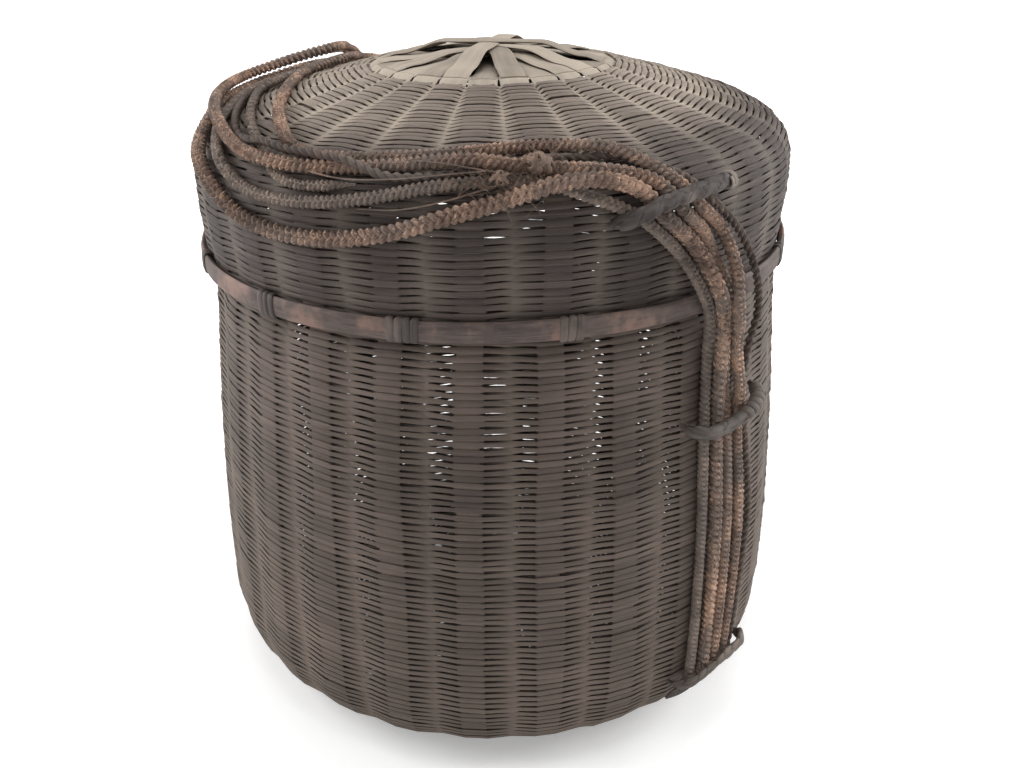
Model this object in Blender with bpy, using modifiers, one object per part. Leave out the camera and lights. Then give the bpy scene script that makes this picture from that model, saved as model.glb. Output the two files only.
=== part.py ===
# A tall twined storage basket with a deep lid that slides up a slack sling of braided cords.
# Metres, +Z up. The front faces -Y, and the origin is on the floor under the middle of the basket.
# An azimuth is in degrees from the front, positive towards +X.
# A level runs down one meridian: 0 at the lid's crown, 1 at its rim, 2 at the floor.

from math import cos, degrees, hypot, pi, radians, sin

import bmesh
import bpy
from mathutils import Vector

# Basket wall. The lid is a little narrower than the belly, and the ledge and neck step in under it
foot_radius = 0.168
belly_radius = 0.2078
belly_height = 0.100
lid_inset = 0.0063
ledge_inset = 0.007
neck_inset = 0.006
ledge_height = 0.3075
neck_height = 0.0525
wall_thickness = 0.0045
standing_ring_width = 0.043
base_dish = 0.003
foot_power = 6.3
side_power = 1.6

# Lid
lid_rise = 0.1322
lid_shift = 0.0015
lid_thickness = 0.0045

# What the hand left in it: the right side stands higher than the left by this slope
lean_share = 0.012

# Twining: stakes run up the wall, and each stands proud of the valleys beside it.
# The wall's first stake is turned from the front by a share of their pitch, and the lid's isn't.
stake_count = 26
stake_width = 0.0155
wall_turn_share = -0.35
flute_depth = 0.0019

# Crown and base stars of crossing splints
splint_width = 0.0144
splint_thickness = 0.0006
star_radius = 0.078
star_rise = 0.0008
star_clearance = 0.0003
splint_gap = 0.0004
base_star_thickness = 0.0030

# Rim band, its lashings and the hoop inside the mouth
band_height = 0.0135
band_thickness = 0.0037
lashing_width = 0.0115
lashing_thickness = 0.0010
wrap_relief = 0.0004
wrap_count = 2
hoop_height = 0.009
hoop_thickness = 0.0032

# Cords, by their diameters, and the layer that one cord adds where cords pile up
outer_braid = 0.0086
top_braid = 0.0075
inner_braid = 0.0070
grey_cord = 0.0066
branch_cord = 0.0058
thin_cord = 0.0045
cord_layer = 0.0075
cord_step_diameters = 2.5
thin_step_diameters = 3.0

# Loops that hold the cords to the wall and to the lid
strap_width = 0.0072
strap_thickness = 0.0022
bar_diameter = 0.0084
loop_clearance = 0.0034

# The straight run at the end of a cord, as a share of its diameter
end_run_share = 0.35

# How far a loop's ends stand off the surface, as a share of half their thickness
end_tuck_share = 0.62

# The gap that neighbours keep
gap = 0.0003

# Pitch of the stakes, in degrees, and the most of it that a stake takes up
stake_pitch = 360 / stake_count
wall_turn = wall_turn_share * stake_pitch
widest_stake_share = 0.9

# Flat sides round a turned hoop
hoop_steps = 2 * stake_count
half_turn = 180

# The lid's outline from crown to rim, as shares of its radius and of its rise
lid_outline_shares = (
    (0.000, 1.000),
    (0.174, 0.981),
    (0.397, 0.917),
    (0.571, 0.849),
    (0.774, 0.762),
    (0.938, 0.663),
    (0.990, 0.557),
    (1.000, 0.395),
    (0.993, 0.206),
    (0.978, 0.000),
)

# Where the rings of the woven walls lie, as shares of the height or of the meridian
wall_ring_shares = (0.02, 0.06, 0.14, 0.30, 0.62, 1.0)
lining_ring_shares = (0.92, 0.45, 0.16, 0.055)
lid_ring_shares = (0.42, 0.56, 0.66, 0.72, 0.77, 0.84, 0.95, 1.0)
lid_lining_shares = (1.0, 0.90, 0.77, 0.70, 0.52)

# Which splint lies over which, from the top of the stack down, by its place round the star
splint_order = (6, 12, 4, 1, 9, 11, 3, 7, 10, 2, 8, 5, 0)

# How far the stack keeps its full height, and a third of it, as shares of the star's radius
full_stack_share = 0.42
third_stack_share = 0.80

# Radii and heights that follow from these
lid_radius = belly_radius - lid_inset
ledge_radius = lid_radius - ledge_inset
neck_radius = ledge_radius - neck_inset
mouth_height = ledge_height + neck_height
lid_rim_height = ledge_height + gap


def clear_scene():
    for item in list(bpy.data.objects):
        bpy.data.objects.remove(item, do_unlink=True)


def make_collection(name):
    collection = bpy.data.collections.new(name)
    bpy.context.scene.collection.children.link(collection)
    return collection


def make_material(name, colour, roughness):
    material = bpy.data.materials.new(name)
    material.use_nodes = True
    shader = material.node_tree.nodes["Principled BSDF"]
    shader.inputs["Base Color"].default_value = (*colour, 1)
    shader.inputs["Roughness"].default_value = roughness
    shader.inputs["Metallic"].default_value = 0
    return material


def add_part(name, data, material):
    part = bpy.data.objects.new(name, data)
    part.data.materials.append(material)
    basket.objects.link(part)
    return part


def add_mesh(name, mesh_builder, material):
    data = bpy.data.meshes.new(name)
    mesh_builder.to_mesh(data)
    mesh_builder.free()
    data.shade_smooth()
    data.set_sharp_from_angle(angle=radians(40))
    return add_part(name, data, material)


# A point from its azimuth, its distance from the axis and its height
def around(azimuth, radius, height):
    angle = radians(azimuth)
    return Vector((radius * sin(angle), -radius * cos(angle), height))


# The slope of the hand-made ring: nothing at the floor, all of it from the ledge up
def leaned(point):
    share = min(max(point.z / ledge_height, 0), 1)
    return Vector((point.x, point.y, point.z + lean_share * point.x * share))


# A point of the lid, which sits a little to the left on its ledge
def on_lid(point):
    return leaned(point - Vector((lid_shift, 0, 0)))


def eased(share):
    clamped = min(max(share, 0), 1)
    return clamped * clamped * (3 - 2 * clamped)


# The wall's outer radius: drawn in to the foot below the belly, and to the ledge above it
def wall_radius(height):
    if height < belly_height:
        below = 1 - height / belly_height
        return foot_radius + (belly_radius - foot_radius) * (1 - below ** foot_power)
    above = (height - belly_height) / (ledge_height - belly_height)
    return belly_radius + (ledge_radius - belly_radius) * above ** side_power


# One piece of a smooth curve through four points, at a share between the middle two
def blend_points(before, start, end, after, share):
    first_knot = max((start - before).length, gap) ** 0.5
    middle_knot = max((end - start).length, gap) ** 0.5
    last_knot = max((after - end).length, gap) ** 0.5
    arriving = (start - before) / first_knot - (end - before) / (first_knot + middle_knot)
    leaving = (end - start) / middle_knot - (after - start) / (middle_knot + last_knot)
    start_slope = (arriving + (end - start) / middle_knot) * middle_knot
    end_slope = (leaving + (after - end) / last_knot) * middle_knot
    square = share * share
    cube = square * share
    return (
        start * (2 * cube - 3 * square + 1)
        + start_slope * (cube - 2 * square + share)
        + end * (3 * square - 2 * cube)
        + end_slope * (cube - square)
    )


# A smooth curve through points, with the same number of steps in each piece
def smooth_curve(points, steps):
    padded = [2 * points[0] - points[1], *points, 2 * points[-1] - points[-2]]
    curve = []
    for index in range(len(points) - 1):
        for step in range(steps):
            curve.append(blend_points(*padded[index:index + 4], step / steps))
    curve.append(points[-1].copy())
    return curve


def running_lengths(points):
    lengths = [0]
    for start, end in zip(points, points[1:]):
        lengths.append(lengths[-1] + (end - start).length)
    return lengths


# The point at a distance along a line of points
def point_at(points, lengths, distance):
    for index in range(len(points) - 1):
        if distance <= lengths[index + 1]:
            span = lengths[index + 1] - lengths[index]
            return points[index].lerp(points[index + 1], (distance - lengths[index]) / span)
    return points[-1].copy()


def lid_meridian():
    corners = []
    for radius_share, rise_share in lid_outline_shares:
        corners.append(Vector((radius_share * lid_radius, 0, lid_rim_height + rise_share * lid_rise)))
    return smooth_curve(corners, 16)


lid_line = lid_meridian()
lid_lengths = running_lengths(lid_line)


# A place on the lid's meridian, moved out by a lift along the surface's normal
def lid_place(share, lift):
    length = lid_lengths[-1]
    nudge = length / len(lid_line)
    distance = min(max(share, 0), 1) * length
    place = point_at(lid_line, lid_lengths, distance)
    ahead = point_at(lid_line, lid_lengths, min(distance + nudge, length))
    behind = point_at(lid_line, lid_lengths, max(distance - nudge, 0))
    slope = (ahead - behind).normalized()
    return place + Vector((-slope.z, 0, slope.x)) * lift


# A place on the basket's wall, moved out by a lift along the surface's normal
def wall_place(height, lift):
    nudge = ledge_height / len(lid_line)
    rise = wall_radius(height + nudge) - wall_radius(max(height - nudge, 0))
    slope = Vector((rise, 0, height + nudge - max(height - nudge, 0))).normalized()
    return Vector((wall_radius(height), 0, height)) + Vector((slope.z, 0, -slope.x)) * lift


# A point over the outside of the closed basket, from its azimuth, its level and its lift
def surface_point(azimuth, level, lift):
    if level <= 1:
        place = lid_place(level, lift)
        return on_lid(around(azimuth, place.x, place.z))
    place = wall_place(ledge_height * (2 - level), lift)
    return leaned(around(azimuth, place.x, place.z))


# The share of the lid's meridian at which it has a radius
def share_at_radius(radius):
    for index, place in enumerate(lid_line):
        if place.x >= radius:
            return lid_lengths[index] / lid_lengths[-1]
    return 1


# Half the angle that a stake takes up at a radius, short of its neighbours near the star
def half_stake_angle(radius):
    return min(degrees(stake_width / 2 / radius), stake_pitch * widest_stake_share / 2)


# The azimuths of one ring of a woven wall, three to a stake, and which of them are valleys
def ring_columns(radius):
    half_stake = half_stake_angle(radius)
    columns = []
    for stake in range(stake_count):
        centre = stake * stake_pitch
        columns.append((centre - stake_pitch / 2, True))
        columns.append((centre - half_stake, False))
        columns.append((centre + half_stake, False))
    return columns


# A woven wall: rings of points joined into one closed skin, valleys drawn in by their depth.
# Its first stake stands at a turn from the front.
def woven_wall(name, rings, turn, place, material):
    builder = bmesh.new()
    loops = []
    for outward, depth, radius, height in rings:
        loop = []
        for azimuth, is_valley in ring_columns(radius):
            sink = depth if is_valley else 0
            point = around(azimuth + turn, radius - outward[0] * sink, height - outward[1] * sink)
            loop.append(builder.verts.new(place(point)))
        loops.append(loop)
    for inner, outer in zip(loops, loops[1:] + loops[:1]):
        for index in range(len(inner)):
            following = (index + 1) % len(inner)
            builder.faces.new((inner[index], inner[following], outer[following], outer[index]))
    bmesh.ops.recalc_face_normals(builder, faces=builder.faces)
    return add_mesh(name, builder, material)


# The hole that the star fills: its flat sides, one for each stake, face the ends of the splints
def star_hole_radius():
    return hypot(star_radius + star_clearance, stake_width / 2)


# How near the axis a ring's flat sides come between its corners
def flat_reach(radius):
    half_stake = half_stake_angle(radius)
    half_valley = (stake_pitch / 2 - half_stake) / 2
    return radius * cos(radians(max(half_stake, half_valley)))


# The basket's wall and floor in one: standing ring, foot, belly, ledge and neck
def make_basket_weave():
    level = (0, 0)
    outward = (1, 0)
    hole = star_hole_radius()
    standing_ring = foot_radius - standing_ring_width
    rings = [(level, 0, hole, base_dish), (level, 0, standing_ring, 0), (level, 0, foot_radius, 0)]
    for share in wall_ring_shares:
        height = share * ledge_height
        rings.append((outward, flute_depth, wall_radius(height), height))
    rings.append((level, 0, neck_radius, ledge_height))
    rings.append((level, 0, neck_radius, mouth_height))
    lining = neck_radius - wall_thickness
    rings.append((level, 0, lining, mouth_height))
    rings.append((level, 0, lining, ledge_height - wall_thickness))
    for share in lining_ring_shares:
        place = wall_place(share * ledge_height, -wall_thickness)
        rings.append((outward, flute_depth, place.x, place.z))
    rings.append((level, 0, foot_radius, wall_thickness))
    rings.append((level, 0, standing_ring, wall_thickness))
    rings.append((level, 0, hole, base_dish + wall_thickness))
    return woven_wall("basket_weave", rings, wall_turn, leaned, weave_dark)


# The lid's dome and wall: smooth where the band seats, fluted above it
def make_lid_weave():
    level = (0, 0)
    hole_share = share_at_radius(star_hole_radius())
    rings = [(level, 0, star_hole_radius(), lid_place(hole_share, 0).z)]
    for share in lid_ring_shares:
        rings.append(lid_ring(share, 0))
    for share in lid_lining_shares:
        rings.append(lid_ring(share, -lid_thickness))
    rings.append((level, 0, star_hole_radius(), lid_place(hole_share, -lid_thickness).z))
    return woven_wall("lid_weave", rings, 0, on_lid, weave_pale)


def lid_ring(share, lift):
    place = lid_place(share, lift)
    outer = lid_place(share, lift + lid_thickness)
    outward = (outer - place).normalized()
    under_band = place.z < lid_rim_height + band_height + lashing_thickness + 2 * gap
    depth = 0 if under_band else flute_depth
    height = lid_rim_height if share == 1 else place.z
    return ((outward.x, outward.z), depth, place.x, height)


# A turned hoop of rectangular section, from its inner and outer radius and its two heights
def turned_hoop(name, inner, outer, bottom, top, place, material):
    builder = bmesh.new()
    corners = ((inner, bottom), (outer, bottom), (outer, top), (inner, top))
    section = [builder.verts.new(around(0, radius, height)) for radius, height in corners]
    edges = [builder.edges.new((section[index - 1], section[index])) for index in range(len(section))]
    bmesh.ops.spin(
        builder,
        geom=[*section, *edges],
        axis=(0, 0, 1),
        cent=(0, 0, 0),
        angle=2 * pi,
        steps=hoop_steps,
        use_merge=True,
    )
    for vertex in builder.verts:
        vertex.co = place(vertex.co)
    bmesh.ops.recalc_face_normals(builder, faces=builder.faces)
    return add_mesh(name, builder, material)


# The rim band's inner radius: its flat sides clear the lid's wall where that is widest under it
def band_inner_radius():
    widest = lid_place(1 - band_height / lid_lengths[-1], 0).x
    return (widest + gap) / cos(pi / hoop_steps)


def make_lid_band():
    inner = band_inner_radius()
    top = lid_rim_height + band_height
    return turned_hoop("lid_band", inner, inner + band_thickness, lid_rim_height, top, on_lid, band_brown)


# The hoop inside the mouth, clear of the flat sides of the neck's lining
def make_mouth_hoop():
    outer = flat_reach(neck_radius - wall_thickness) - gap
    bottom = mouth_height - hoop_height
    inner = outer - hoop_thickness
    return turned_hoop("mouth_hoop", inner, outer, bottom, mouth_height, leaned, band_brown)


# One lashing: a C of flat strip over the band's face and edges, with a ridge for each wrap
def make_lashing(number):
    azimuth = (2 * number + 1) * stake_pitch
    inner = band_inner_radius()
    outer = inner + band_thickness + gap
    bottom = lid_rim_height - gap
    top = lid_rim_height + band_height + gap
    thickness = lashing_thickness
    section = (
        (inner, bottom - thickness, 0),
        (outer + thickness, bottom - thickness, 1),
        (outer + thickness, top + thickness, 1),
        (inner, top + thickness, 0),
        (inner, top, 0),
        (outer, top, 0),
        (outer, bottom, 0),
        (inner, bottom, 0),
    )
    builder = bmesh.new()
    stations = 2 * wrap_count + 1
    loops = []
    for station in range(stations):
        offset = lashing_width * (station / (stations - 1) - 0.5)
        turn = azimuth + offset / outer * half_turn / pi
        ridge = wrap_relief if station % 2 else 0
        loop = []
        for radius, height, proud in section:
            loop.append(builder.verts.new(on_lid(around(turn, radius + ridge * proud, height))))
        loops.append(loop)
    for near, far in zip(loops, loops[1:]):
        for index in range(len(section)):
            following = (index + 1) % len(section)
            builder.faces.new((near[index], near[following], far[following], far[index]))
    builder.faces.new(loops[0])
    builder.faces.new(loops[-1])
    bmesh.ops.recalc_face_normals(builder, faces=builder.faces)
    return add_mesh(f"band_lashing_{number + 1:02d}", builder, lashing_tan)


# A flat strip through pairs of edge points, given its thickness by a Solidify modifier
def make_strip(name, edge_pairs, thickness, offset, material):
    builder = bmesh.new()
    rows = [[builder.verts.new(left), builder.verts.new(right)] for left, right in edge_pairs]
    for near, far in zip(rows, rows[1:]):
        builder.faces.new((near[0], near[1], far[1], far[0]))
    strip = add_mesh(name, builder, material)
    solidify = strip.modifiers.new("Solidify", "SOLIDIFY")
    solidify.thickness = thickness
    solidify.offset = offset
    return strip


# How much of its height the stack of splints keeps at a radius
def stack_share(radius):
    full = full_stack_share * star_radius
    third = third_stack_share * star_radius
    outer_third = 1 - eased((radius - third) / (star_radius - third))
    inner_rest = 1 - eased((radius - full) / (third - full))
    return (outer_third + 2 * inner_rest) / 3


# One splint of the crown's star, which arches over the splints laid under it
def make_splint(place_in_stack, place_round):
    layer = len(splint_order) - 1 - place_in_stack
    azimuth = place_round * stake_pitch
    ahead = around(azimuth, 1, 0)
    aside = Vector((-ahead.y, ahead.x, 0))
    edge_height = lid_place(share_at_radius(star_radius), 0).z
    layer_height = layer * (splint_thickness + splint_gap)
    steps = 14
    edge_pairs = []
    for step in range(steps + 1):
        along = star_radius * (2 * step / steps - 1)
        radius = min(hypot(along, splint_width / 2), star_radius)
        rise = star_rise * (1 - radius / star_radius) + layer_height * stack_share(radius)
        middle = ahead * along + Vector((0, 0, edge_height + rise))
        reach = aside * (splint_width / 2)
        edge_pairs.append((on_lid(middle + reach), on_lid(middle - reach)))
    return make_strip(f"crown_splint_{place_round + 1:02d}", edge_pairs, splint_thickness, -1, splint_grey)


# The star in the floor: the same splints beaten flat into one plaited piece
def make_base_star():
    notch_radius = splint_width / 2 / sin(radians(stake_pitch / 2))
    outline = []
    for arm in range(stake_count):
        azimuth = wall_turn + arm * stake_pitch
        ahead = around(azimuth, 1, 0)
        aside = Vector((-ahead.y, ahead.x, 0)) * (splint_width / 2)
        outline.append(ahead * star_radius - aside)
        outline.append(ahead * star_radius + aside)
        outline.append(around(azimuth + stake_pitch / 2, notch_radius, 0))
    data = bpy.data.curves.new("base_star", "CURVE")
    data.dimensions = "2D"
    data.fill_mode = "BOTH"
    data.extrude = base_star_thickness / 2
    spline = data.splines.new("POLY")
    spline.points.add(len(outline) - 1)
    for point, corner in zip(spline.points, outline):
        point.co = (corner.x, corner.y, 0, 1)
    spline.use_cyclic_u = True
    star = add_part("base_star", data, splint_grey)
    star.location.z = base_dish + wall_thickness / 2
    return star


# A curve object along a line of points, with filled caps
def make_tube(name, points, diameter, material):
    data = bpy.data.curves.new(name, "CURVE")
    data.dimensions = "3D"
    data.bevel_depth = diameter / 2
    data.bevel_resolution = 2
    data.use_fill_caps = True
    spline = data.splines.new("POLY")
    spline.points.add(len(points) - 1)
    for point, place in zip(spline.points, points):
        point.co = (*place, 1)
    return add_part(name, data, material)


# The line of a loop, from a route of azimuths, levels and shares of its full lift.
# It clears the thickest cord, and its ends are tucked down to the surface.
def loop_line(route, thickness, extra_lift, turn):
    low_lift = gap + end_tuck_share * thickness / 2
    full_lift = outer_braid + loop_clearance + thickness / 2
    corners = []
    for azimuth, level, lift_share in route:
        lift = low_lift + (full_lift - low_lift) * lift_share + extra_lift
        corners.append(surface_point(azimuth + turn, level, lift))
    return smooth_curve(corners, 3)


# A flat strap that bridges the cords, with both ends tucked down to the surface
def make_strap(name, route, turn):
    line = loop_line(route, strap_thickness, 0, turn)
    outer_line = loop_line(route, strap_thickness, strap_thickness, turn)
    edge_pairs = []
    for index, (point, outer_point) in enumerate(zip(line, outer_line)):
        ahead = line[min(index + 1, len(line) - 1)] - line[max(index - 1, 0)]
        across = ahead.cross(outer_point - point).normalized() * (strap_width / 2)
        edge_pairs.append((point - across, point + across))
    return make_strip(name, edge_pairs, strap_thickness, 0, strap_brown)


# The round bar half-way up each side, over the cords
def make_bar(name, route, turn):
    return make_tube(name, loop_line(route, bar_diameter, 0, turn), bar_diameter, strap_brown)


# Routes of the loops: azimuth, level, share of the full lift, less than none in the wall's valleys
shoulder_loop_route = (
    (18.4, 0.770, 0.0),
    (19.6, 0.766, 0.7),
    (21.5, 0.759, 1.0),
    (25.5, 0.748, 1.0),
    (33.5, 0.738, 1.0),
    (37.8, 0.734, 0.9),
    (40.2, 0.734, 0.6),
    (42.3, 0.739, 0.0),
)
middle_loop_route = (
    (33.6, 1.224, -0.10),
    (33.8, 1.229, 0.55),
    (35.2, 1.234, 1.0),
    (39.5, 1.239, 1.0),
    (43.5, 1.235, 1.0),
    (48.0, 1.225, 1.0),
    (51.2, 1.215, 0.7),
    (53.6, 1.208, 0.0),
)
base_loop_route = (
    (34.0, 1.856, 0.0),
    (34.4, 1.848, 0.6),
    (36.0, 1.840, 1.0),
    (40.4, 1.835, 1.0),
    (45.5, 1.828, 1.0),
    (50.5, 1.826, 1.0),
    (53.0, 1.834, 0.6),
    (54.6, 1.848, -0.05),
)

# Routes of the cords: azimuth, level, and how many cord layers they are raised by.
# The first ones climb the right side, from under the base loop to under the shoulder loop.
# Over the lid's rim they pile up: the inner braid lies on the top one, and the outer on the grey one.
grey_side_route = (
    (37.6, 1.865, 0.2), (37.8, 1.82, 0.2), (38.5, 1.51, 0.04), (38.5, 1.232, 0.04), (38.5, 1.079, 0.3),
    (37.4, 1.001, 1.0), (35.3, 0.938, 0.75), (31.0, 0.86, 0.3), (27.0, 0.81, 0.3), (22.5, 0.765, 0.3),
)
outer_side_route = (
    (40.8, 1.865, 0.2), (41.0, 1.82, 0.2), (42.0, 1.51, 0.03), (41.5, 1.244, 0.03), (41.1, 1.177, 0.3),
    (40.4, 1.082, 0.9), (39.6, 1.005, 1.35), (37.0, 0.935, 1.6), (34.0, 0.86, 0.6), (30.6, 0.81, 0.3),
    (26.3, 0.765, 0.3),
)
top_side_route = (
    (44.0, 1.865, 0.2), (44.2, 1.82, 0.2), (45.6, 1.51, 0.0), (44.5, 1.257, 0.0), (43.7, 1.18, 0.0),
    (43.5, 1.09, 0.1), (42.7, 1.016, 1.15), (40.9, 0.954, 1.05), (37.8, 0.88, 0.3), (34.2, 0.81, 0.3),
    (30.3, 0.765, 0.3),
)
inner_side_route = (
    (47.1, 1.865, 0.2), (47.5, 1.82, 0.2), (49.5, 1.51, 0.1), (47.8, 1.268, 0.1), (45.6, 1.18, 1.0),
    (43.8, 1.09, 1.25), (41.8, 1.02, 2.2), (40.5, 0.955, 2.2), (40.4, 0.893, 1.5), (38.0, 0.81, 0.3),
    (33.8, 0.765, 0.3),
)
thin_side_route = (
    (50.1, 1.865, 0.2), (50.5, 1.82, 0.2), (54.3, 1.51, 0.05), (50.9, 1.283, 0.05), (48.6, 1.205, 0.3),
    (50.2, 1.121, 0.5), (51.8, 1.049, 1.0), (51.0, 1.001, 1.3), (49.1, 0.936, 0.9), (45.4, 0.857, 0.3),
    (41.5, 0.81, 0.3), (37.2, 0.765, 0.3),
)

# On the left side the same cords hang side by side in lanes.
# Level, azimuth of the middle lane, spacing of the lanes in degrees, and cord layers.
lane_profile = (
    (1.865, 44.0, 3.15, 0.2),
    (1.82, 44.2, 3.15, 0.2),
    (1.51, 46.0, 3.9, 0.05),
    (1.25, 42.3, 2.9, 0.05),
    (1.19, 42.6, 3.0, 0.1),
    (1.11, 44.6, 3.7, 0.5),
    (1.02, 45.2, 4.3, 1.15),
    (0.96, 43.9, 4.1, 1.15),
    (0.86, 38.4, 3.7, 0.3),
    (0.81, 34.3, 3.65, 0.3),
    (0.765, 29.6, 3.7, 0.3),
)

# The next ones lie over the lid as a slack handle, from one shoulder loop to the other
grey_handle_route = (
    (19.0, 0.742, 0.0), (15.0, 0.722, 0.0), (8.0, 0.692, 0.0), (0.7, 0.686, 0.0), (-8.0, 0.694, 0.0),
    (-20.0, 0.724, 0.0), (-31.0, 0.742, 0.0), (-43.0, 0.741, 0.0), (-54.0, 0.709, 0.1),
    (-67.0, 0.654, 0.1), (-80.0, 0.615, 0.0), (-92.0, 0.600, 0.0), (-105.0, 0.566, 0.0),
    (-116.0, 0.516, 0.0), (-128.0, 0.533, 0.0), (-137.0, 0.600, 0.0), (-144.3, 0.685, 0.2),
)
outer_handle_route = (
    (23.4, 0.727, 0.3), (17.9, 0.708, 0.9), (11.0, 0.704, 0.95), (5.5, 0.714, 0.6),
    (0.0, 0.727, 0.0), (-6.0, 0.745, 0.0), (-16.8, 0.781, 0.0), (-29.0, 0.804, 0.0),
    (-42.7, 0.797, 0.0), (-52.5, 0.762, 0.0), (-63.0, 0.718, 0.2), (-78.0, 0.655, 0.1),
    (-92.0, 0.633, 0.0), (-105.0, 0.598, 0.0),
    (-116.0, 0.549, 0.0), (-126.0, 0.560, 0.0), (-134.8, 0.625, 0.1), (-140.6, 0.690, 0.35),
)
top_handle_route = (
    (26.9, 0.716, 0.1), (23.0, 0.694, 0.1), (18.0, 0.676, 0.0), (9.5, 0.662, 0.0), (4.0, 0.660, 0.3),
    (-2.5, 0.657, 0.7), (-9.0, 0.652, 0.4), (-15.2, 0.657, 0.1), (-26.8, 0.672, 0.0), (-33.6, 0.686, 0.5),
    (-40.3, 0.690, 0.9), (-47.3, 0.682, 0.5), (-55.9, 0.667, 0.3), (-66.0, 0.650, 1.0),
    (-76.0, 0.637, 1.2), (-88.0, 0.628, 1.2), (-100.0, 0.615, 1.2), (-108.0, 0.560, 1.2),
    (-114.0, 0.500, 1.2), (-121.0, 0.470, 1.2), (-129.0, 0.500, 1.2), (-137.0, 0.570, 1.2),
    (-143.5, 0.640, 1.0), (-147.5, 0.700, 0.4),
)
inner_handle_route = (
    (31.0, 0.725, 0.1), (25.5, 0.677, 0.4), (20.2, 0.639, 0.7), (13.2, 0.607, 0.3), (5.2, 0.592, 0.0),
    (-8.9, 0.617, 0.0), (-22.7, 0.640, 0.0), (-30.9, 0.648, 0.0), (-36.3, 0.643, 0.0),
    (-41.9, 0.622, 0.0), (-49.1, 0.582, 0.0), (-58.5, 0.541, 0.0), (-69.1, 0.502, 0.0),
    (-82.8, 0.472, 0.0), (-100.0, 0.458, 0.0), (-112.0, 0.433, 0.0), (-121.0, 0.430, 0.0),
    (-130.0, 0.470, 0.0), (-139.0, 0.540, 0.0), (-148.0, 0.615, 0.1), (-154.5, 0.695, 0.3),
)
thin_handle_route = (
    (33.0, 0.715, 0.0), (28.0, 0.672, 0.0), (22.5, 0.640, 0.0), (16.0, 0.632, 0.0), (8.0, 0.630, 0.0),
    (2.0, 0.640, 0.0), (-4.0, 0.660, 0.0), (-10.0, 0.674, 0.0), (-17.0, 0.684, 0.4),
    (-24.0, 0.672, 1.1), (-30.0, 0.666, 1.1), (-38.0, 0.664, 1.0), (-44.0, 0.657, 1.0),
    (-50.0, 0.656, 0.5), (-56.0, 0.646, 0.0), (-63.0, 0.630, 0.0), (-74.0, 0.605, 0.0),
    (-88.0, 0.583, 0.0), (-102.0, 0.550, 0.0), (-116.0, 0.484, 0.0), (-129.0, 0.500, 0.0),
    (-138.0, 0.568, 0.0), (-145.5, 0.635, 0.1), (-150.7, 0.695, 0.25),
)
branch_handle_route = (
    (-22.0, 0.700, 0.0), (-27.5, 0.709, 0.0), (-33.6, 0.713, 0.0), (-38.5, 0.700, 0.0),
    (-43.6, 0.664, 0.0), (-51.7, 0.631, 0.0), (-63.0, 0.594, 0.0), (-74.0, 0.567, 0.0),
    (-90.0, 0.553, 0.0), (-100.0, 0.523, 0.0), (-107.0, 0.490, 0.0), (-113.0, 0.461, 0.0),
)


# The points of a route, with each cord resting on its own radius over the surface
def route_corners(route, diameter, turn):
    corners = []
    for azimuth, level, layers in route:
        lift = diameter / 2 + gap + layers * cord_layer
        corners.append(surface_point(azimuth + turn, level, lift))
    return corners


# A stretch of a line between two distances: evenly spaced points, and a short straight run at each end
def resampled(line, start, end, diameter, step_diameters):
    lengths = running_lengths(line)
    run = diameter * end_run_share
    count = max(round((end - start - 2 * run) / (diameter * step_diameters)), 2)
    first = point_at(line, lengths, start)
    last = point_at(line, lengths, end)
    points = [first, first + heading(line, lengths, start, run) * run]
    for step in range(1, count):
        points.append(point_at(line, lengths, start + run + (end - start - 2 * run) * step / count))
    points.append(last - heading(line, lengths, end, run) * run)
    points.append(last)
    return points


# The direction of a line at a distance along it
def heading(line, lengths, distance, reach):
    ahead = point_at(line, lengths, min(distance + reach, lengths[-1]))
    behind = point_at(line, lengths, max(distance - reach, 0))
    return (ahead - behind).normalized()


# The route of one lane up the left side
def lane_route(lane):
    route = []
    for level, middle, spacing, layers in lane_profile:
        route.append((middle + lane * spacing, level, layers))
    return route


# One whole strand: up a side, over the lid and down the other side, cut at the shoulder loops
def make_strand(name, diameter, near_route, handle_route, far_lane, material):
    near = route_corners(near_route, diameter, 0)
    handle = route_corners(handle_route, diameter, 0)
    far = route_corners(lane_route(far_lane)[::-1], diameter, half_turn)
    steps = 12
    line = smooth_curve(near + handle + far, steps)
    lengths = running_lengths(line)
    near_end = lengths[(len(near) - 1) * steps]
    far_start = lengths[(len(near) + len(handle)) * steps]
    step = thin_step_diameters if diameter == thin_cord else cord_step_diameters
    near_line = resampled(line, 0, near_end - gap / 2, diameter, step)
    handle_line = resampled(line, near_end + gap / 2, far_start - gap / 2, diameter, step)
    far_line = resampled(line, far_start + gap / 2, lengths[-1], diameter, step)
    make_tube(f"side_cord_right_{name}", near_line, diameter, material)
    make_tube(f"handle_cord_{name}", handle_line, diameter, material)
    make_tube(f"side_cord_left_{name}", far_line, diameter, material)


# The cord that leaves the grey one over the front and joins it again behind the crown
def make_branch():
    line = smooth_curve(route_corners(branch_handle_route, branch_cord, 0), 12)
    points = resampled(line, 0, running_lengths(line)[-1], branch_cord, cord_step_diameters)
    make_tube("handle_cord_branch", points, branch_cord, cord_grey)


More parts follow.
